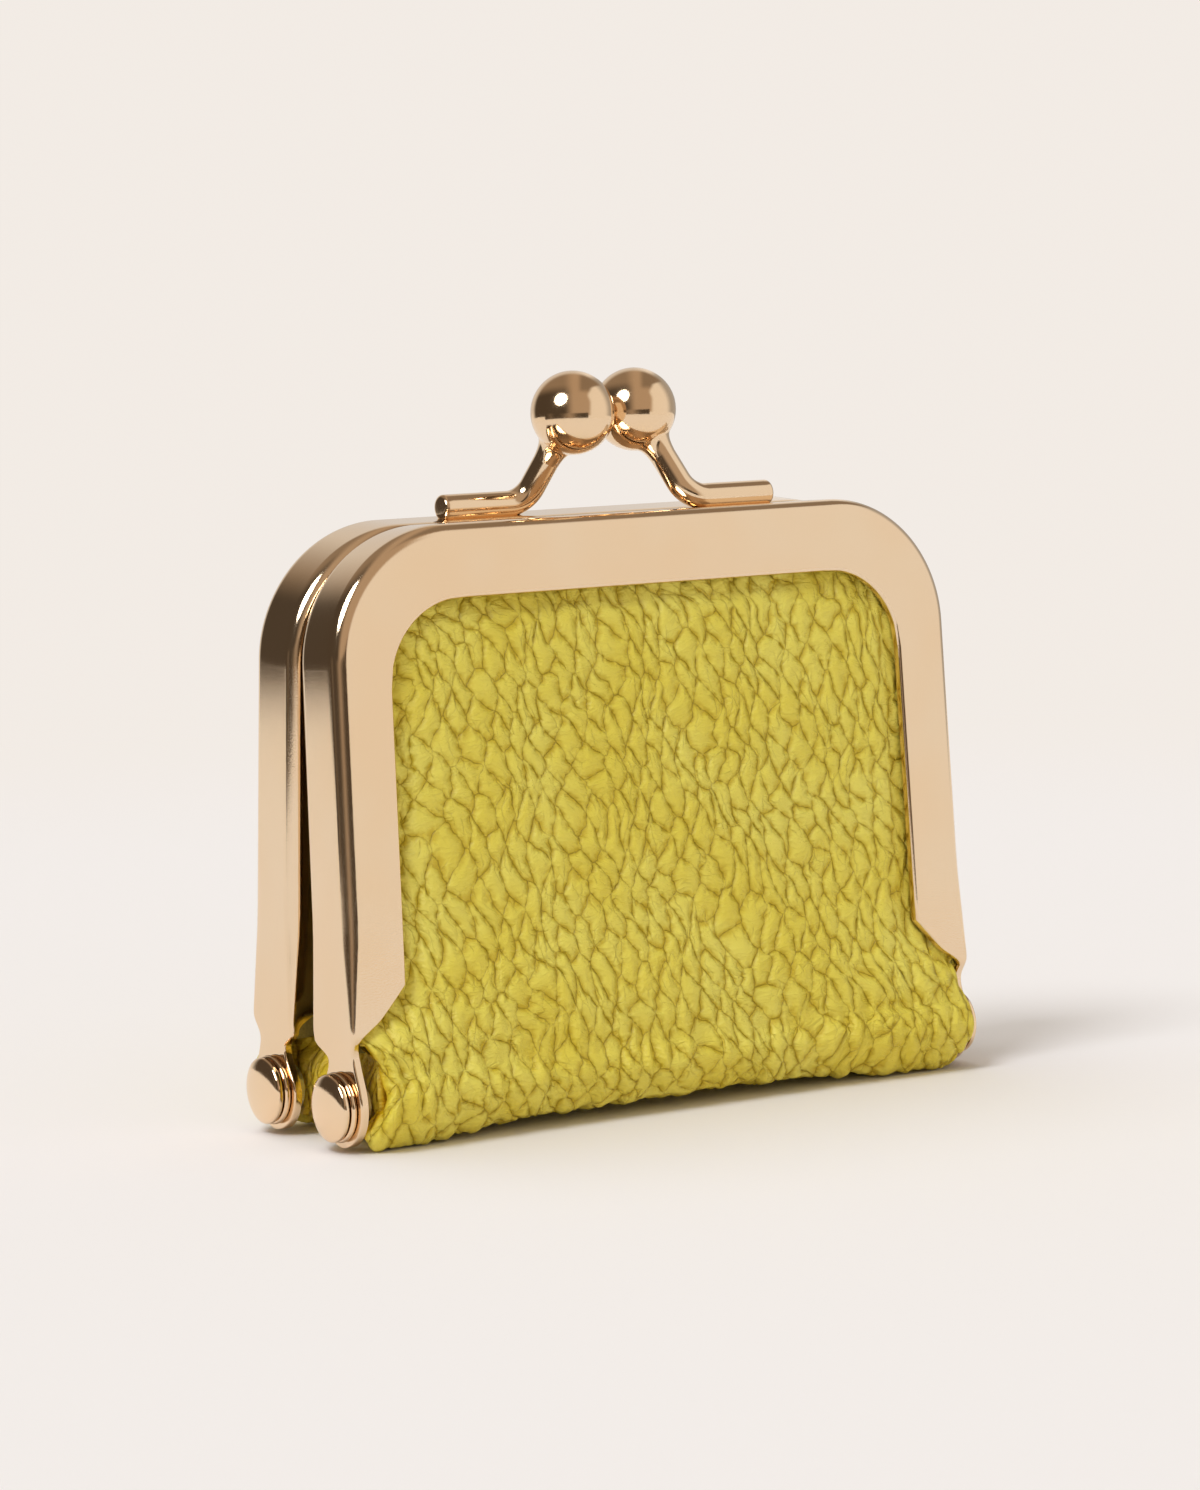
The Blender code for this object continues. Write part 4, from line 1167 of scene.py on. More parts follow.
def leather_material(name):
    material, tree, shader = new_material(name)
    place = add_node(tree, "ShaderNodeAttribute", attribute_name="hide_place").outputs["Vector"]
    relief, line, streaks = grain_fields(tree, place)
    clouds = spread(tree, noise_node(tree, place, 0.08, 3.0), 0.35, 0.68)
    tone = blend_colors(tree, clouds, LIME, LIME_LIGHT)
    # Painted shade, deeper towards the bottom of each valley.
    tone = blend_colors(tree, spread(tree, relief, VALLEY_SHADE_START, 0.0), tone, LIME_VALLEY_SHADE)
    # Painted warm shade where the skin turns in and on the gussets, with the crease lines faded there.
    inner = add_node(tree, "ShaderNodeAttribute", attribute_name="hide_inner").outputs["Fac"]
    line = math_node(tree, "MULTIPLY", line, math_node(tree, "SUBTRACT", 1.0, inner))
    tone = blend_colors(tree, inner, tone, BOUNCE_SHADE_GOLD)
    # Painted shade along the thin crease lines.
    tone = blend_colors(tree, math_node(tree, "MULTIPLY", line, CREASE_SHADE_SHARE), tone, CREASE_SHADE_BROWN)
    tree.links.new(tone, shader.inputs["Base Color"])
    pores = add_node(tree, "ShaderNodeTexNoise", {
        "Vector": place, "Scale": 6.5, "Detail": 3.0, "Roughness": 0.6,
    }).outputs["Fac"]
    tree.links.new(spread(tree, pores, 0.3, 0.7, 0.38, 0.52), shader.inputs["Roughness"])
    shader.inputs["Specular IOR Level"].default_value = 0.40
    height = relief
    for value, share in ((streaks, STREAK_RELIEF), (pores, PORE_RELIEF), (line, LINE_RELIEF)):
        height = plus(tree, height, value, share)
    bump = bump_node(tree, height, 1.0, LEATHER_RELIEF)
    tree.links.new(bump.outputs[0], shader.inputs["Normal"])
    return material


LEATHER = leather_material("lime_leather")
print("leather", LEATHER.name)

# %% Grain pressed into the mesh
FOLD_PATTERN = (0.42, 0.07, 1.0)

grain_tree, group_in, group_out = new_geometry_tree("pressed_grain", [
    ("Crease depth", "NodeSocketFloat", 0.3 * MM),
    ("Pucker depth", "NodeSocketFloat", 0.55 * MM),
])
place = stored(grain_tree, "hide_place", "FLOAT_VECTOR")
relief, line, streaks = grain_fields(grain_tree, place)
sink = math_node(grain_tree, "SUBTRACT", relief, 1.0)
sink = math_node(grain_tree, "MULTIPLY", sink, group_in.outputs["Crease depth"])
folds = noise_node(grain_tree, vector_node(grain_tree, "MULTIPLY", place, FOLD_PATTERN), 1.0, 1.0)
pucker = math_node(grain_tree, "SUBTRACT", spread(grain_tree, folds, 0.3, 0.7), 1.0)
pucker = math_node(grain_tree, "MULTIPLY", pucker, group_in.outputs["Pucker depth"])
sink = plus(grain_tree, sink, pucker, stored(grain_tree, "hide_pucker"))
sink = math_node(grain_tree, "MULTIPLY", sink, stored(grain_tree, "hide_press"))
normal = add_node(grain_tree, "GeometryNodeInputNormal").outputs[0]
moved = add_node(grain_tree, "GeometryNodeSetPosition", {
    "Geometry": group_in.outputs[0], "Offset": longer(grain_tree, normal, sink),
})
close_tree(grain_tree, group_out, moved.outputs[0], LEATHER)
print("leaves", LEAF_WIDTH, "by", LEAF_HEIGHT, "mm")

# %% [markdown]
# A single skin runs from inside the frame's crown, down the front, round under the base to the
# middle of the underside, and its twin comes from the back. It is a grid of about a quarter of a
# millimetre, shaped by rule: held down under the face, swelling out of the opening, fuller below
# the slants, and folded round at both ends. The back of the skin is a coarse copy.

# %% The skin's line and width
SKIN = 1.1 * MM
EDGE_INSET = 1.9 * MM
UNDER_FACE = 1.18 * MM
PUFF = 0.95 * MM
PUFF_START = -0.25 * MM
PUFF_WIDTH = 3.6 * MM
LOW_PUFF = 0.80 * MM
LOW_PUFF_FADE = (19 * MM, -15 * MM)
SWELL = 0.35 * MM
SWELL_WIDTH = 22 * MM
FOOT_HEIGHT = 3.0 * MM
FOLD_GROWTH = (8.6 * MM, -4.4 * MM)
PANEL_WIDTH_FADE = (11.5 * MM, 3.0 * MM)
UNDER_NARROWS = 0.6 * MM
BASE_RADIUS = HINGE_HEIGHT
ROUND_BOTTOM = math.radians(-38)
COLUMNS = 300
ROWS_PANEL = 204
ROWS_FOOT = 44
ROWS_UNDER = 22
SMOOTH_ROWS = 6
BACK_STEP = 6
# Half widths in millimetres below the frame, as (height above the floor, half width).
LEFT_END = (
    (0.0, 36.8), (0.4, 38.0), (1.0, 38.8), (1.8, 39.2), (2.6, 38.9), (3.6, 38.0), (5.0, 37.2),
    (6.6, 36.8), (10.0, 37.2), (13.0, 38.0),
)
RIGHT_END = (
    (0.0, 36.6), (0.7, 37.8), (2.0, 39.0), (3.3, 39.6), (6.6, 39.7), (9.0, 39.0), (10.8, 38.0),
    (13.0, 38.0),
)


def beside_slant(x, height):
    """How far a place lies below the face's slanted end, negative above it."""
    top = (side_x(FLANGE_CORNER_HEIGHT) - FACE_WIDTH_SIDE, FLANGE_CORNER_HEIGHT)
    foot = (side_x(FLANGE_END_HEIGHT) - SHEET, FLANGE_END_HEIGHT)
    run, fall = foot[0] - top[0], top[1] - foot[1]
    size = math.hypot(run, fall)
    return -((np.abs(x) - top[0]) * fall + (height - top[1]) * run) / size


def puff(x, height):
    """How far the skin stands out from its place under the face."""
    inside = inside_opening(x, height)
    clear = np.maximum(inside, beside_slant(x, height))
    full = PUFF + LOW_PUFF * ramp(height, *LOW_PUFF_FADE)
    return full * ramp(clear, PUFF_START, PUFF_WIDTH) + SWELL * ramp(inside, 0.0, SWELL_WIDTH)


def middle_y(height):
    """The skin's place in depth at the middle of the panel."""
    return UNDER_FACE - FACE_TO_HINGE - float(puff(np.array(0.0), np.array(height)))


def panel_width(height):
    """Half the skin's width on the panel."""
    radius = FRAME_CORNER_RADIUS - EDGE_INSET
    start = FRAME_HEIGHT - EDGE_INSET - radius
    if height <= start:
        return side_x(height) - EDGE_INSET
    cut = math.sqrt(max(radius ** 2 - (height - start) ** 2, 0.0))
    return side_x(start) - EDGE_INSET - radius + cut


skin_rows = []
top_height = FRAME_HEIGHT - EDGE_INSET
for i in range(ROWS_PANEL):
    height = top_height + (FOOT_HEIGHT - top_height) * i / ROWS_PANEL
    skin_rows.append({"kind": "panel", "height": height, "fold": float(ramp(height, *FOLD_GROWTH))})
foot_y = middle_y(FOOT_HEIGHT)
foot_reach = math.hypot(foot_y, FOOT_HEIGHT)
foot_angle = math.atan2(FOOT_HEIGHT, -foot_y) - LEAN
for i in range(ROWS_FOOT + 1):
    angle = foot_angle + (-math.pi / 2 - foot_angle) * i / ROWS_FOOT
    share = float(ramp(angle, ROUND_BOTTOM, foot_angle - ROUND_BOTTOM))
    reach = BASE_RADIUS + (foot_reach - BASE_RADIUS) * share
    skin_rows.append({"kind": "round", "angle": angle, "reach": reach, "fold": 1.0})
for i in range(1, ROWS_UNDER + 1):
    skin_rows.append({"kind": "under", "y": -HINGE_SPACING * (1 - i / ROWS_UNDER), "fold": 1.0})


def row_height(row):
    """The skin's height above the floor at the middle of a row."""
    if row["kind"] == "panel":
        return to_world([(0.0, middle_y(row["height"]), row["height"])])[0, 2]
    if row["kind"] == "round":
        return HINGE_HEIGHT + row["reach"] * math.sin(row["angle"])
    return 0.0


for row in skin_rows:
    above = row_height(row)
    for side, ends in (("left", LEFT_END), ("right", RIGHT_END)):
        row[side] = float(np.interp(above / MM, *zip(*ends))) * MM
        if row["kind"] == "panel":
            share = float(ramp(above, *PANEL_WIDTH_FADE))
            row[side] += share * (panel_width(row["height"]) - row[side])
        if row["kind"] == "under":
            row[side] -= UNDER_NARROWS * float(ramp(1 + row["y"] / HINGE_SPACING))
for side in ("left", "right"):
    widths = np.array([row[side] for row in skin_rows])
    for i in range(ROWS_PANEL // 2, len(skin_rows) - SMOOTH_ROWS):
        skin_rows[i][side] = float(widths[i - SMOOTH_ROWS:i + SMOOTH_ROWS + 1].mean())
print("skin rows", len(skin_rows), "foot at", round(foot_reach / MM, 2), "mm")

# %% Skin surface
FOLD_RADII = {"left": 2.0 * MM, "right": 1.5 * MM}
CORNER_FOLD_RADIUS = 1.4 * MM
UNDER_FOLD_RADIUS = 2.3 * MM
FOLD_ANGLE = math.radians(118)
CORNER_FOLD_ANGLE = math.radians(158)
FOLD_TAIL = 1.6 * MM
FOLD_FILL = 0.7
CORNER_SWELL = 0.85 * MM
MIDDLE_LIFT = 0.60 * MM
ROOM_BELOW = 0.02 * MM
LEAST_SLOPE = -0.01
# Where each change across or down the skin starts, and how long it takes.
ASIDE = (16 * MM, 17 * MM)
LOW_SWELL = (11 * MM, -6 * MM)
BOTTOM = (ROUND_BOTTOM, -math.radians(34))
CORNER = (math.radians(5), -math.radians(35))
BELOW = (math.radians(-58), -math.radians(30))
TURNED_IN = (math.radians(55), math.radians(50))


def skin_line(row, x):
    """Places on the skin's outer line of one row, for an array of x, with the outward direction."""
    aside = ramp(np.abs(x), *ASIDE)
    corner = CORNER_SWELL * aside
    lift = MIDDLE_LIFT * (1 - aside)
    across = np.outer(x, (1.0, 0.0, 0.0))
    if row["kind"] == "panel":
        height = np.full_like(x, row["height"])
        y = UNDER_FACE - FACE_TO_HINGE - puff(x, height) - corner * ramp(height, *LOW_SWELL)
        return to_world(np.stack([x, y, height], 1)), np.array((0.0, -math.cos(LEAN), math.sin(LEAN)))
    if row["kind"] == "round":
        out = np.array((0.0, -math.cos(row["angle"]), math.sin(row["angle"])))
        middle = np.array((0.0, -HINGE_SPACING, HINGE_HEIGHT)) + out * row["reach"]
        steep = -math.sin(min(row["angle"], LEAST_SLOPE))
        room = max(0.0, (HINGE_HEIGHT - ROOM_BELOW) / steep - row["reach"])
        bottom = float(ramp(row["angle"], *BOTTOM))
        return middle + across + np.outer(np.minimum(corner, room) - lift * bottom, out), out
    out = np.array((0.0, 0.0, -1.0))
    return np.array((0.0, row["y"], HINGE_HEIGHT - BASE_RADIUS)) + across - np.outer(lift, out), out


def half_row(row, side, thickness):
    """One half of a row from the middle outwards: points, arc lengths and how far each is turned in."""
    fold = row["fold"]
    angle = row.get("angle", 0.0 if row["kind"] == "panel" else -math.pi / 2)
    at_corner = float(ramp(angle, *CORNER))
    below = float(ramp(angle, *BELOW))
    radius = FOLD_RADII[side] + (CORNER_FOLD_RADIUS - FOLD_RADII[side]) * at_corner
    radius += (UNDER_FOLD_RADIUS - radius) * below
    bend = FOLD_ANGLE + (CORNER_FOLD_ANGLE - FOLD_ANGLE) * at_corner * (1 - below)
    thickness = min(thickness, FOLD_FILL * radius)
    arc = radius * bend
    flat = row[side] - radius * fold
    s = np.linspace(0.0, flat + fold * (arc + FOLD_TAIL), COLUMNS // 2 + 1)
    beyond = np.clip(s - flat, 0.0, None)
    turn = np.minimum(beyond, arc) / radius
    tail = np.clip(beyond - arc, 0.0, None)
    inner = radius - thickness
    on_flat = np.minimum(s, flat)
    sink = thickness + inner * (1 - np.cos(turn)) + tail * math.sin(bend)
    sign = -1.0 if side == "left" else 1.0
    points, out = skin_line(row, sign * on_flat)
    points[:, 0] = sign * (on_flat + inner * np.sin(turn) + tail * math.cos(bend))
    points -= np.outer(sink, out)
    return points, sign * s, ramp(turn, *TURNED_IN)


def skin_grid(thickness):
    """Rows of points across the skin, sunk by a thickness, their places on the hide and their turn."""
    grid, places, turned_in = [], [], []
    along_hide = 0.0
    before = None
    for row in skin_rows:
        halves = zip(half_row(row, "left", thickness), half_row(row, "right", thickness))
        points, s, row_turn = (np.concatenate([left[::-1], right[1:]]) for left, right in halves)
        middle = points[COLUMNS // 2]
        along_hide += 0.0 if before is None else float(np.linalg.norm(middle - before))
        before = middle
        grid.append(points)
        turned_in.append(row_turn)
        places.append(np.stack([s / MM, np.full_like(s, -along_hide / MM), np.zeros_like(s)], 1))
    return np.array(grid), np.array(places), np.array(turned_in)


# How far the skin turns in is kept as the mask of its painted warm shade.
front_grid, hide_places, hide_inner = skin_grid(0.0)
back_grid = skin_grid(SKIN)[0]

# %% [markdown]
# The grain is pressed in everywhere but along the skin's own edges, where it has to meet its back
# or its twin. Leather that is gathered puckers, so broad folds are added under the base, at the
# foot, and where the skin comes out from under the face.

# %% Where the grain and the puckers go
UNDER_EDGE = (0.0, -5.0 * MM)
FACE_PUCKER = 0.55
FACE_PUCKER_FADE = (4.5 * MM, -4.0 * MM)
FOOT_PUCKER_FADE = (9.0 * MM, -7.0 * MM)

press = np.ones(front_grid.shape[:2])
press[0], press[:, 0], press[:, -1] = 0.0, 0.0, 0.0
pucker = np.ones(front_grid.shape[:2])
for i, row in enumerate(skin_rows):
    if row["kind"] == "under":
        press[i] *= float(ramp(row["y"], *UNDER_EDGE))
    if row["kind"] == "panel":
        x = front_grid[i, :, 0]
        height = np.full_like(x, row["height"])
        at_face = FACE_PUCKER * ramp(inside_opening(x, height), *FACE_PUCKER_FADE)
        pucker[i] = np.maximum(at_face, ramp(height, *FOOT_PUCKER_FADE))
print("pressed share", round(float(press.mean()), 3), "puckered share", round(float(pucker.mean()), 3))


# %% Close the skin and press the grain
def backed_grid(front, back, step):
    """A fine front, a coarse back and a rim between them, as points and faces."""
    rows, columns = front.shape[0] - 1, front.shape[1] - 1
    points = [tuple(p) for p in front.reshape(-1, 3)]
    faces = band_faces(rows + 1, columns + 1, closed=False)

    def at(i, j):
        return i * (columns + 1) + j

    row_stops = sorted({*range(0, rows, step), rows})
    column_stops = sorted({*range(0, columns, step), columns})
    behind = {}
    for i in row_stops:
        for j in column_stops:
            behind[i, j] = len(points)
            points.append(tuple(back[i, j]))
    for a, b in zip(row_stops, row_stops[1:]):
        for c, d in zip(column_stops, column_stops[1:]):
            faces.append((behind[a, c], behind[a, d], behind[b, d], behind[b, c]))
    for c, d in zip(column_stops, column_stops[1:]):
        faces.append(tuple(at(0, j) for j in range(c, d + 1)) + (behind[0, d], behind[0, c]))
        faces.append(tuple(at(rows, j) for j in range(d, c - 1, -1)) + (behind[rows, c], behind[rows, d]))
    for a, b in zip(row_stops, row_stops[1:]):
        faces.append(tuple(at(i, 0) for i in range(b, a - 1, -1)) + (behind[a, 0], behind[b, 0]))
        right_edge = tuple(at(i, columns) for i in range(a, b + 1))
        faces.append(right_edge + (behind[b, columns], behind[a, columns]))
    return points, faces


def store(mesh, name, values, size=1):
    """Stores one or three numbers at each of a mesh's first points, and zeros at the rest."""
    filled = np.zeros(len(mesh.vertices) * size, np.float32)
    filled[:values.size] = values.ravel()
    attribute = mesh.attributes.new(name, "FLOAT_VECTOR" if size == 3 else "FLOAT", "POINT")
    attribute.data.foreach_set("vector" if size == 3 else "value", filled)


HIDE_OFFSET = {"front": 0.0, "rear": 260.0}
CREASE_DEPTH = 0.28 * MM
skin_points, skin_faces = backed_grid(front_grid, back_grid, BACK_STEP)
for side, turn in FRONT_AND_REAR:
    skin = make_object(side + "_leather_skin", turn(skin_points), skin_faces, LEATHER)
    hide = np.zeros((len(skin_points), 3))
    hide[:press.size] = hide_places.reshape(-1, 3)
    hide[:, 0] += HIDE_OFFSET[side]
    store(skin.data, "hide_place", hide, 3)
    for name, values in (("hide_press", press), ("hide_pucker", pucker), ("hide_inner", hide_inner)):
        store(skin.data, name, values)
    skin = grow(skin, grain_tree, {"Crease depth": CREASE_DEPTH})
    outward = -1 if side == "front" else 1
    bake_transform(skin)
    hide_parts(side + "_leather_panel", "base_leather")
    print(skin.name, len(skin.data.vertices), "points", len(skin.data.polygons), "faces")

# %% [markdown]
# Between the frames' feet the pocket is closed by a gusset at each end, a piece of the same hide
# that dips inwards and is creased where it folds. It lies in a narrow gap between the ears, where
# the light that reaches it has already met leather, so part of the painted warm shade of the
# turned-in edges is mixed into its colour.

# %% Gussets
GUSSET_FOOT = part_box("right_gusset")[0].z
GUSSET_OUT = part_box("right_gusset")[1].x
GUSSET_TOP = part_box("right_gusset")[1].z
GUSSET_REACH = 3.0 * MM
GUSSET_THICK = 1.0 * MM
GUSSET_NARROWS = 0.5 * MM
GUSSET_BOW = 0.9 * MM
GUSSET_SET_BACK = 0.35 * MM
GUSSET_DIP = 1.7 * MM
GUSSET_DIP_FADE = (6.6 * MM, 3.6 * MM)
PLEAT = 0.10 * MM
PLEAT_FADE = (3.0 * MM, 5 * MM)
PLEATS = 6
GUSSET_ROWS = 56
GUSSET_COLUMNS = 96
GUSSET_BACK_STEP = 4
GUSSET_HIDE = 520.0
GUSSET_HIDE_STEP = {"right": 0.0, "left": 60.0}
GUSSET_GRAIN = 1.4
GUSSET_CREASE_DEPTH = 0.16 * MM
# How much of the painted warm shade the gussets take.
GUSSET_BOUNCE_SHADE = 0.6


def gusset_half_depth(z):
    """Half the gusset's depth: round the hinge line below it, and nearly upright above."""
    fall = np.clip(HINGE_HEIGHT - z, 0.0, GUSSET_REACH)
    rise = np.clip((z - HINGE_HEIGHT) / (GUSSET_TOP - HINGE_HEIGHT), 0.0, 1.0)
    return HINGE_SPACING + np.sqrt(GUSSET_REACH ** 2 - fall ** 2) - GUSSET_NARROWS * rise


def gusset_grid(depth):
    rows = []
    t = np.linspace(-1.0, 1.0, GUSSET_COLUMNS + 1)
    top = GUSSET_TOP - GUSSET_BOW * t ** 2
    middle = 1 - t ** 2
    for i in range(GUSSET_ROWS + 1):
        z = top + (GUSSET_FOOT - top) * i / GUSSET_ROWS
        dip = GUSSET_SET_BACK + GUSSET_DIP * middle * ramp(z, *GUSSET_DIP_FADE)
        pleat = PLEAT * (1 - np.cos(PLEATS * math.pi * t)) * middle * ramp(z, *PLEAT_FADE)
        rows.append(np.stack([GUSSET_OUT - depth - dip - pleat, t * gusset_half_depth(z), z], 1))
    return np.array(rows)


gusset_front, gusset_back = gusset_grid(0.0), gusset_grid(GUSSET_THICK)
gusset_points, gusset_faces = backed_grid(gusset_front, gusset_back, GUSSET_BACK_STEP)
for side, turn in RIGHT_AND_LEFT:
    gusset = make_object(side + "_gusset_leather", turn(gusset_points), gusset_faces, LEATHER)
    facing_out(gusset)
    places = np.array([v.co for v in gusset.data.vertices])
    along_hide = places[:, 1] / MM * GUSSET_GRAIN + GUSSET_HIDE + GUSSET_HIDE_STEP[side]
    hide = np.stack([along_hide, places[:, 2] / MM * GUSSET_GRAIN, np.zeros(len(places))], 1)
    store(gusset.data, "hide_place", hide, 3)
    store(gusset.data, "hide_press", np.ones(gusset_front.shape[:2]))
    store(gusset.data, "hide_inner", np.full(len(places), GUSSET_BOUNCE_SHADE))
    gusset = grow(gusset, grain_tree, {"Crease depth": GUSSET_CREASE_DEPTH, "Pucker depth": 0.0})
    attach(gusset, "base")
    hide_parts(side + "_gusset")
    print(gusset.name, len(gusset.data.polygons), "faces")

# %% [markdown]
# The inside is lined with a close suede in a darker yellow. It is glued down, so it lies smooth,
# with a slight wave and a soft nap that makes its colour drift.

# %% Suede finish
SUEDE_TONES = ((0.42, 0.33, 0.07), (0.52, 0.42, 0.11))
NAP_TONE = (0.36, 0.28, 0.055)
NAP_RELIEF = 0.08 * MM


def suede_material(name):
    material, tree, shader = new_material(name)
    place = object_place(tree)
    nap = noise_node(tree, place, 4200.0, 2.0)
    drift = spread(tree, noise_node(tree, place, 110.0, 3.0), 0.35, 0.65)
    tone = blend_colors(tree, drift, *SUEDE_TONES)
    tone = blend_colors(tree, spread(tree, nap, 0.35, 0.75), tone, NAP_TONE)
    tree.links.new(tone, shader.inputs["Base Color"])
    shader.inputs["Roughness"].default_value = 0.95
    shader.inputs["Sheen Weight"].default_value = 0.25
    shader.inputs["Sheen Roughness"].default_value = 0.5
    tree.links.new(bump_node(tree, nap, 0.4, NAP_RELIEF).outputs[0], shader.inputs["Normal"])
    return material


SUEDE = suede_material("suede_lining")
print("suede", SUEDE.name)

# %% Linings
LINING = 0.6 * MM
LINING_DEPTH = 4.0 * MM
LINING_FOOT = 5.3 * MM
LINING_EDGE = 4 * MM
LINING_WAVE = 0.12 * MM
LINING_ROWS = 61
LINING_COLUMNS = 81
SHORT_ROWS = 25
GUSSET_LINING_COLUMNS = 33


def wave(a, b):
    """A gentle unevenness between 0 and 1 over a flat piece, from two lengths in metres."""
    first = np.sin(a / (5.3 * MM) + 0.7 * np.sin(b / (7.1 * MM)))
    second = np.sin(b / (6.2 * MM) + a / (11 * MM))
    return 0.5 + 0.25 * first + 0.25 * second


def lined(name, front, back, body, node):
    """A lining sheet between two grids, on its body, in place of its CAD node."""
    points, faces = backed_grid(front, back, 1)
    lining = facing_out(make_object(name, points, faces, SUEDE))
    lining.data.set_sharp_from_angle(angle=math.radians(50))
    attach(lining, body)
    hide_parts(node)
    print(name, len(lining.data.polygons), "faces")


rows_in, rows_out = [], []
for i in range(LINING_ROWS):
    height = top_height + (LINING_FOOT - top_height) * i / (LINING_ROWS - 1)
    x = panel_width(height) * np.linspace(-1.0, 1.0, LINING_COLUMNS)
    h = np.full_like(x, height)
    y_out = np.full_like(x, LINING_DEPTH - FACE_TO_HINGE)
    y_in = y_out + LINING - LINING_WAVE * wave(x, h) * ramp(inside_opening(x, h), 0.0, LINING_EDGE)
    rows_out.append(np.stack([x, y_out, h], 1))
    rows_in.append(np.stack([x, y_in, h], 1))
for side, turn in FRONT_AND_REAR:
    outer = np.array([turn(to_world(row)) for row in rows_out])
    inner = np.array([turn(to_world(row)) for row in rows_in])
    flat = (2 * float(panel_width(LINING_FOOT)), top_height - LINING_FOOT)
    lined(side + "_suede", outer, inner, side + "_half", side + "_lining")

low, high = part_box("base_lining")
x, y = np.meshgrid(np.linspace(low.x, high.x, LINING_COLUMNS), np.linspace(low.y, high.y, SHORT_ROWS))
bottom = np.stack([x, y, np.full_like(x, low.z)], 2)
top = np.stack([x, y, high.z - LINING_WAVE * wave(x, y)], 2)
lined("base_suede", top, bottom, "base", "base_lining")

low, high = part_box("right_gusset_lining")
across = np.linspace(low.y, high.y, GUSSET_LINING_COLUMNS)
y, z = np.meshgrid(across, np.linspace(high.z, low.z, SHORT_ROWS))
inner = np.stack([low.x + LINING_WAVE * wave(y, z), y, z], 2)
outer = np.stack([np.full_like(y, high.x), y, z], 2)
for side, turn in RIGHT_AND_LEFT:
    name, node = side + "_gusset_suede", side + "_gusset_lining"
    lined(name, turn(outer), turn(inner), "base", node)

# %% [markdown]
# Along the bottom of each channel runs a twisted paper cord. The leather is pushed in beside it and
# the channel is pressed shut on both. Nothing of it shows, but it is what holds the leather. Two
# strands are wound round one line by Geometry Nodes.

# %% Paper finish
def drifting_material(name, scale, detail, reach, tones, roughness):
    """A finish whose colour drifts between two tones, with its tree, its shader and the drift."""
    material, tree, shader = new_material(name)
    drift = noise_node(tree, object_place(tree), scale, detail)
    tree.links.new(blend_colors(tree, spread(tree, drift, *reach), *tones), shader.inputs["Base Color"])
    shader.inputs["Roughness"].default_value = roughness
    return material, tree, shader, drift


PAPER_TONES = ((0.72, 0.66, 0.52), (0.60, 0.53, 0.40))
PAPER_CORD = drifting_material("paper_cord", 2500.0, 3.0, (0.3, 0.7), PAPER_TONES, 0.95)[0]
print("paper", PAPER_CORD.name)

# %% Packing cords
CORD_FRONT = LINING_DEPTH + LINING + GAP
CORD_BACK = CHANNEL_DEPTH_TOP - SHEET - GAP
CORD_RADIUS = (CORD_BACK - CORD_FRONT) / 2
CORD_FOOT = 10.95 * MM
CORD_BEND_STEPS = 24
CORD_POINTS = 900
TWIST_LENGTH = 3.4 * MM
STRAND_SHARE = 0.48
STRAND_SIDES = 10
# A direction that the cord never runs along, from which the strands' turning is counted.
ACROSS_CHANNEL = (0.0, 1.0, 0.052)

cord_inset = SHEET + GAP + CORD_RADIUS
cord_bend = FRAME_CORNER_RADIUS - cord_inset
half_route = [(side_x(CORD_FOOT) - cord_inset, CORD_FOOT)]
for i in range(CORD_BEND_STEPS + 1):
    angle = math.radians(90 * i / CORD_BEND_STEPS)
    half_route.append((corner_x + cord_bend * math.cos(angle), corner_h + cord_bend * math.sin(angle)))
route = half_route + [(-x, h) for x, h in reversed(half_route)]
cord_y = (CORD_FRONT + CORD_BACK) / 2 - FACE_TO_HINGE
cord_line = [(x, cord_y, h) for x, h in route]
cord_length = sum(math.dist(a, b) for a, b in zip(cord_line, cord_line[1:]))

cord_tree, group_in, group_out = new_geometry_tree("twisted_cord", [
    ("Cord radius", "NodeSocketFloat", CORD_RADIUS),
    ("Turns", "NodeSocketFloat", 30.0),
])
evened = add_node(cord_tree, "GeometryNodeResampleCurve", {
    "Curve": group_in.outputs["Geometry"], "Count": CORD_POINTS,
})
forward = add_node(cord_tree, "GeometryNodeInputTangent").outputs[0]
across = vector_node(cord_tree, "CROSS_PRODUCT", forward, ACROSS_CHANNEL)
across = vector_node(cord_tree, "NORMALIZE", across)
over = vector_node(cord_tree, "CROSS_PRODUCT", forward, across)
factor = add_node(cord_tree, "GeometryNodeSplineParameter").outputs["Factor"]
angle = math_node(cord_tree, "MULTIPLY", factor, 2 * math.pi)
angle = math_node(cord_tree, "MULTIPLY", angle, group_in.outputs["Turns"])
half_cord = math_node(cord_tree, "MULTIPLY", group_in.outputs["Cord radius"], STRAND_SHARE)
round_one = add_node(cord_tree, "GeometryNodeCurvePrimitiveCircle", {
    "Resolution": STRAND_SIDES, "Radius": half_cord,
})
strands = []
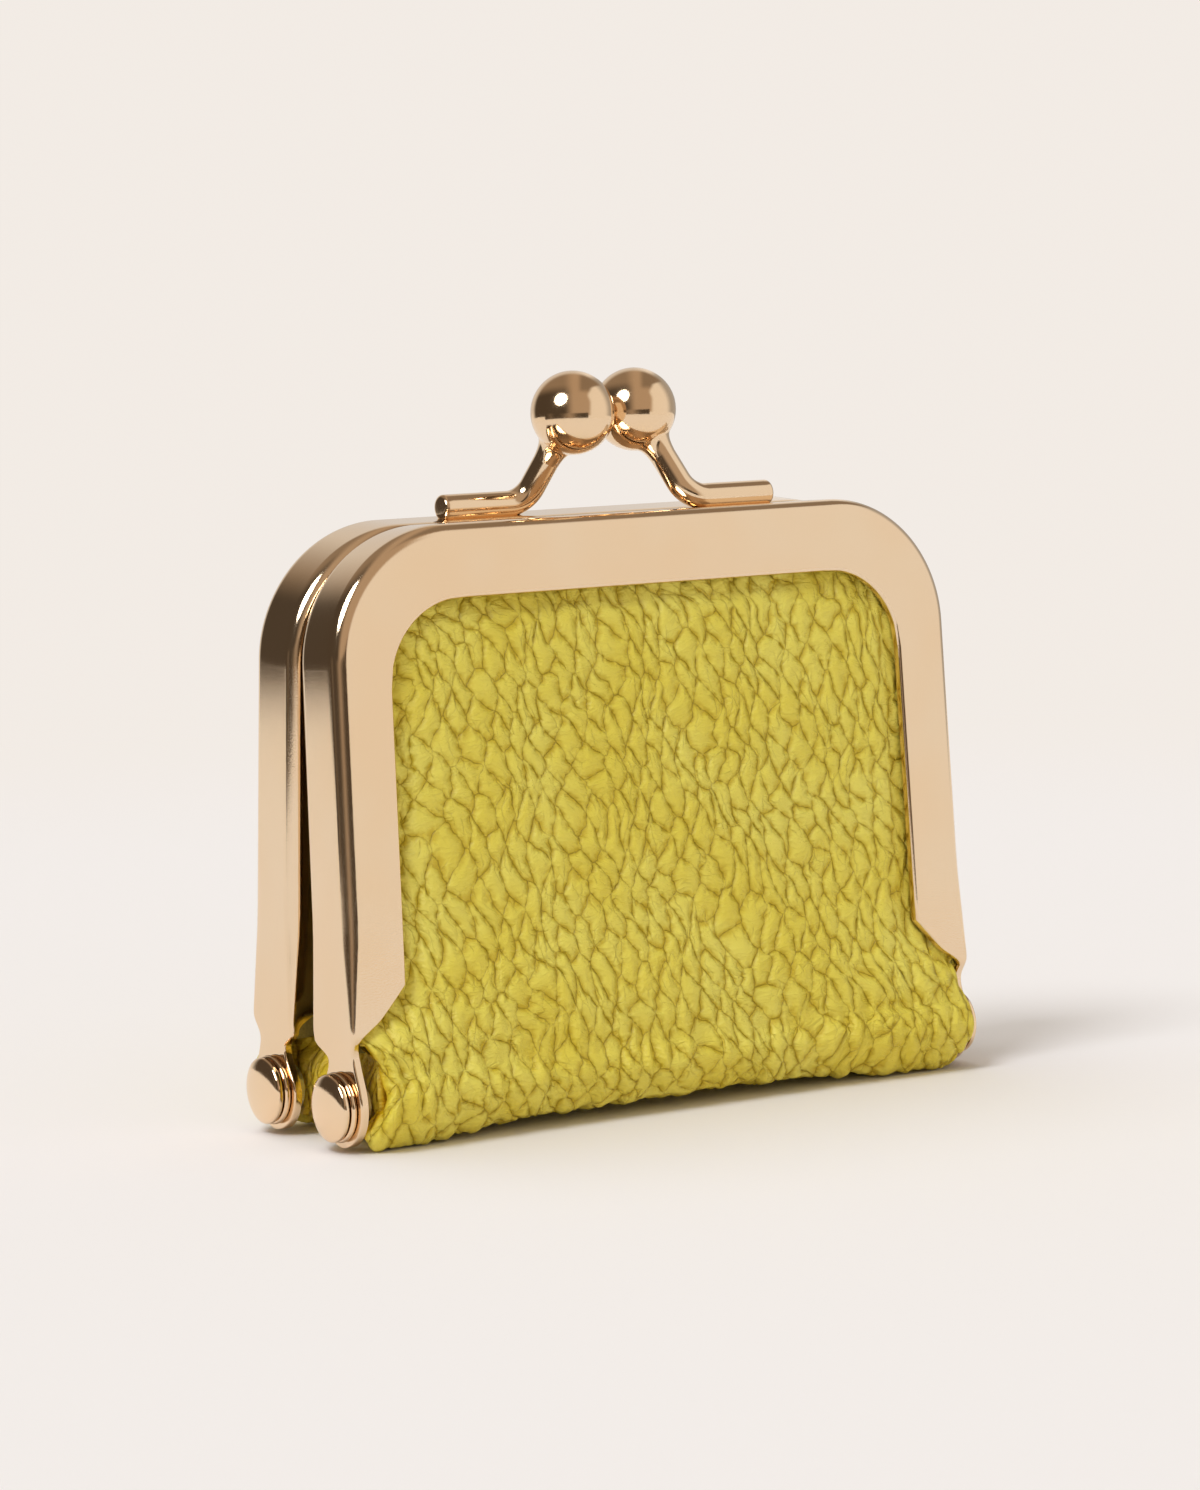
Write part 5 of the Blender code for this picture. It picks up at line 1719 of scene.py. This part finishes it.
for half_turn in (0.0, math.pi):
    turned_angle = math_node(cord_tree, "ADD", angle, half_turn)
    out_a = longer(cord_tree, across, math_node(cord_tree, "COSINE", turned_angle))
    out_b = longer(cord_tree, over, math_node(cord_tree, "SINE", turned_angle))
    offset = longer(cord_tree, vector_node(cord_tree, "ADD", out_a, out_b), half_cord)
    wound = add_node(cord_tree, "GeometryNodeSetPosition", {"Geometry": evened.outputs[0], "Offset": offset})
    tube = add_node(cord_tree, "GeometryNodeCurveToMesh", {
        "Curve": wound.outputs[0], "Profile Curve": round_one.outputs[0], "Fill Caps": True,
    })
    strands.append(tube.outputs[0])
soft_look = add_node(cord_tree, "GeometryNodeSetShadeSmooth", {"Geometry": join_node(cord_tree, strands)})
close_tree(cord_tree, group_out, soft_look.outputs[0], PAPER_CORD)

for side, turn in FRONT_AND_REAR:
    cord = path_curve(side + "_twisted_cord", turn(to_world(cord_line)), [1.0] * len(cord_line))
    cord = grow(cord, cord_tree, {"Cord radius": CORD_RADIUS, "Turns": cord_length / TWIST_LENGTH})
    facing_out(cord)
    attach(cord, side + "_half")
    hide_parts(side + "_packing_cord")
    print(cord.name, round(cord_length / MM, 1), "mm", len(cord.data.polygons), "faces")

# %% [markdown]
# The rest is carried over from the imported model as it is: stiff grey board behind the leather, and
# zinc-plated links and spacers hidden at the hinges. Each gets its finish.

# %% Board and steel
BOARD_TONES = ((0.36, 0.33, 0.27), (0.26, 0.235, 0.19))
STEEL_TONES = ((0.62, 0.60, 0.56), (0.50, 0.48, 0.45))
BOARD = drifting_material("stiff_board", 1400.0, 4.0, (0.35, 0.7), BOARD_TONES, 0.9)[0]
STEEL, tree, shader, bloom = drifting_material("link_steel", 700.0, 3.0, (0.35, 0.7), STEEL_TONES, 0.35)
tree.links.new(spread(tree, bloom, 0.3, 0.7, 0.28, 0.42), shader.inputs["Roughness"])
shader.inputs["Metallic"].default_value = 1.0

for name, node in frame["nodes"].items():
    if node.hide_render:
        continue
    finish = BOARD if "board" in name else STEEL
    node.data.materials.clear()
    node.data.materials.append(finish)
    print("carried over", name, finish.name)

# %% Sizes, and the end
visual_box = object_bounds()
for label, box in (("cad", cad_box), ("visual", visual_box)):
    print(label, [[round(c / MM, 2) for c in v] for v in box])
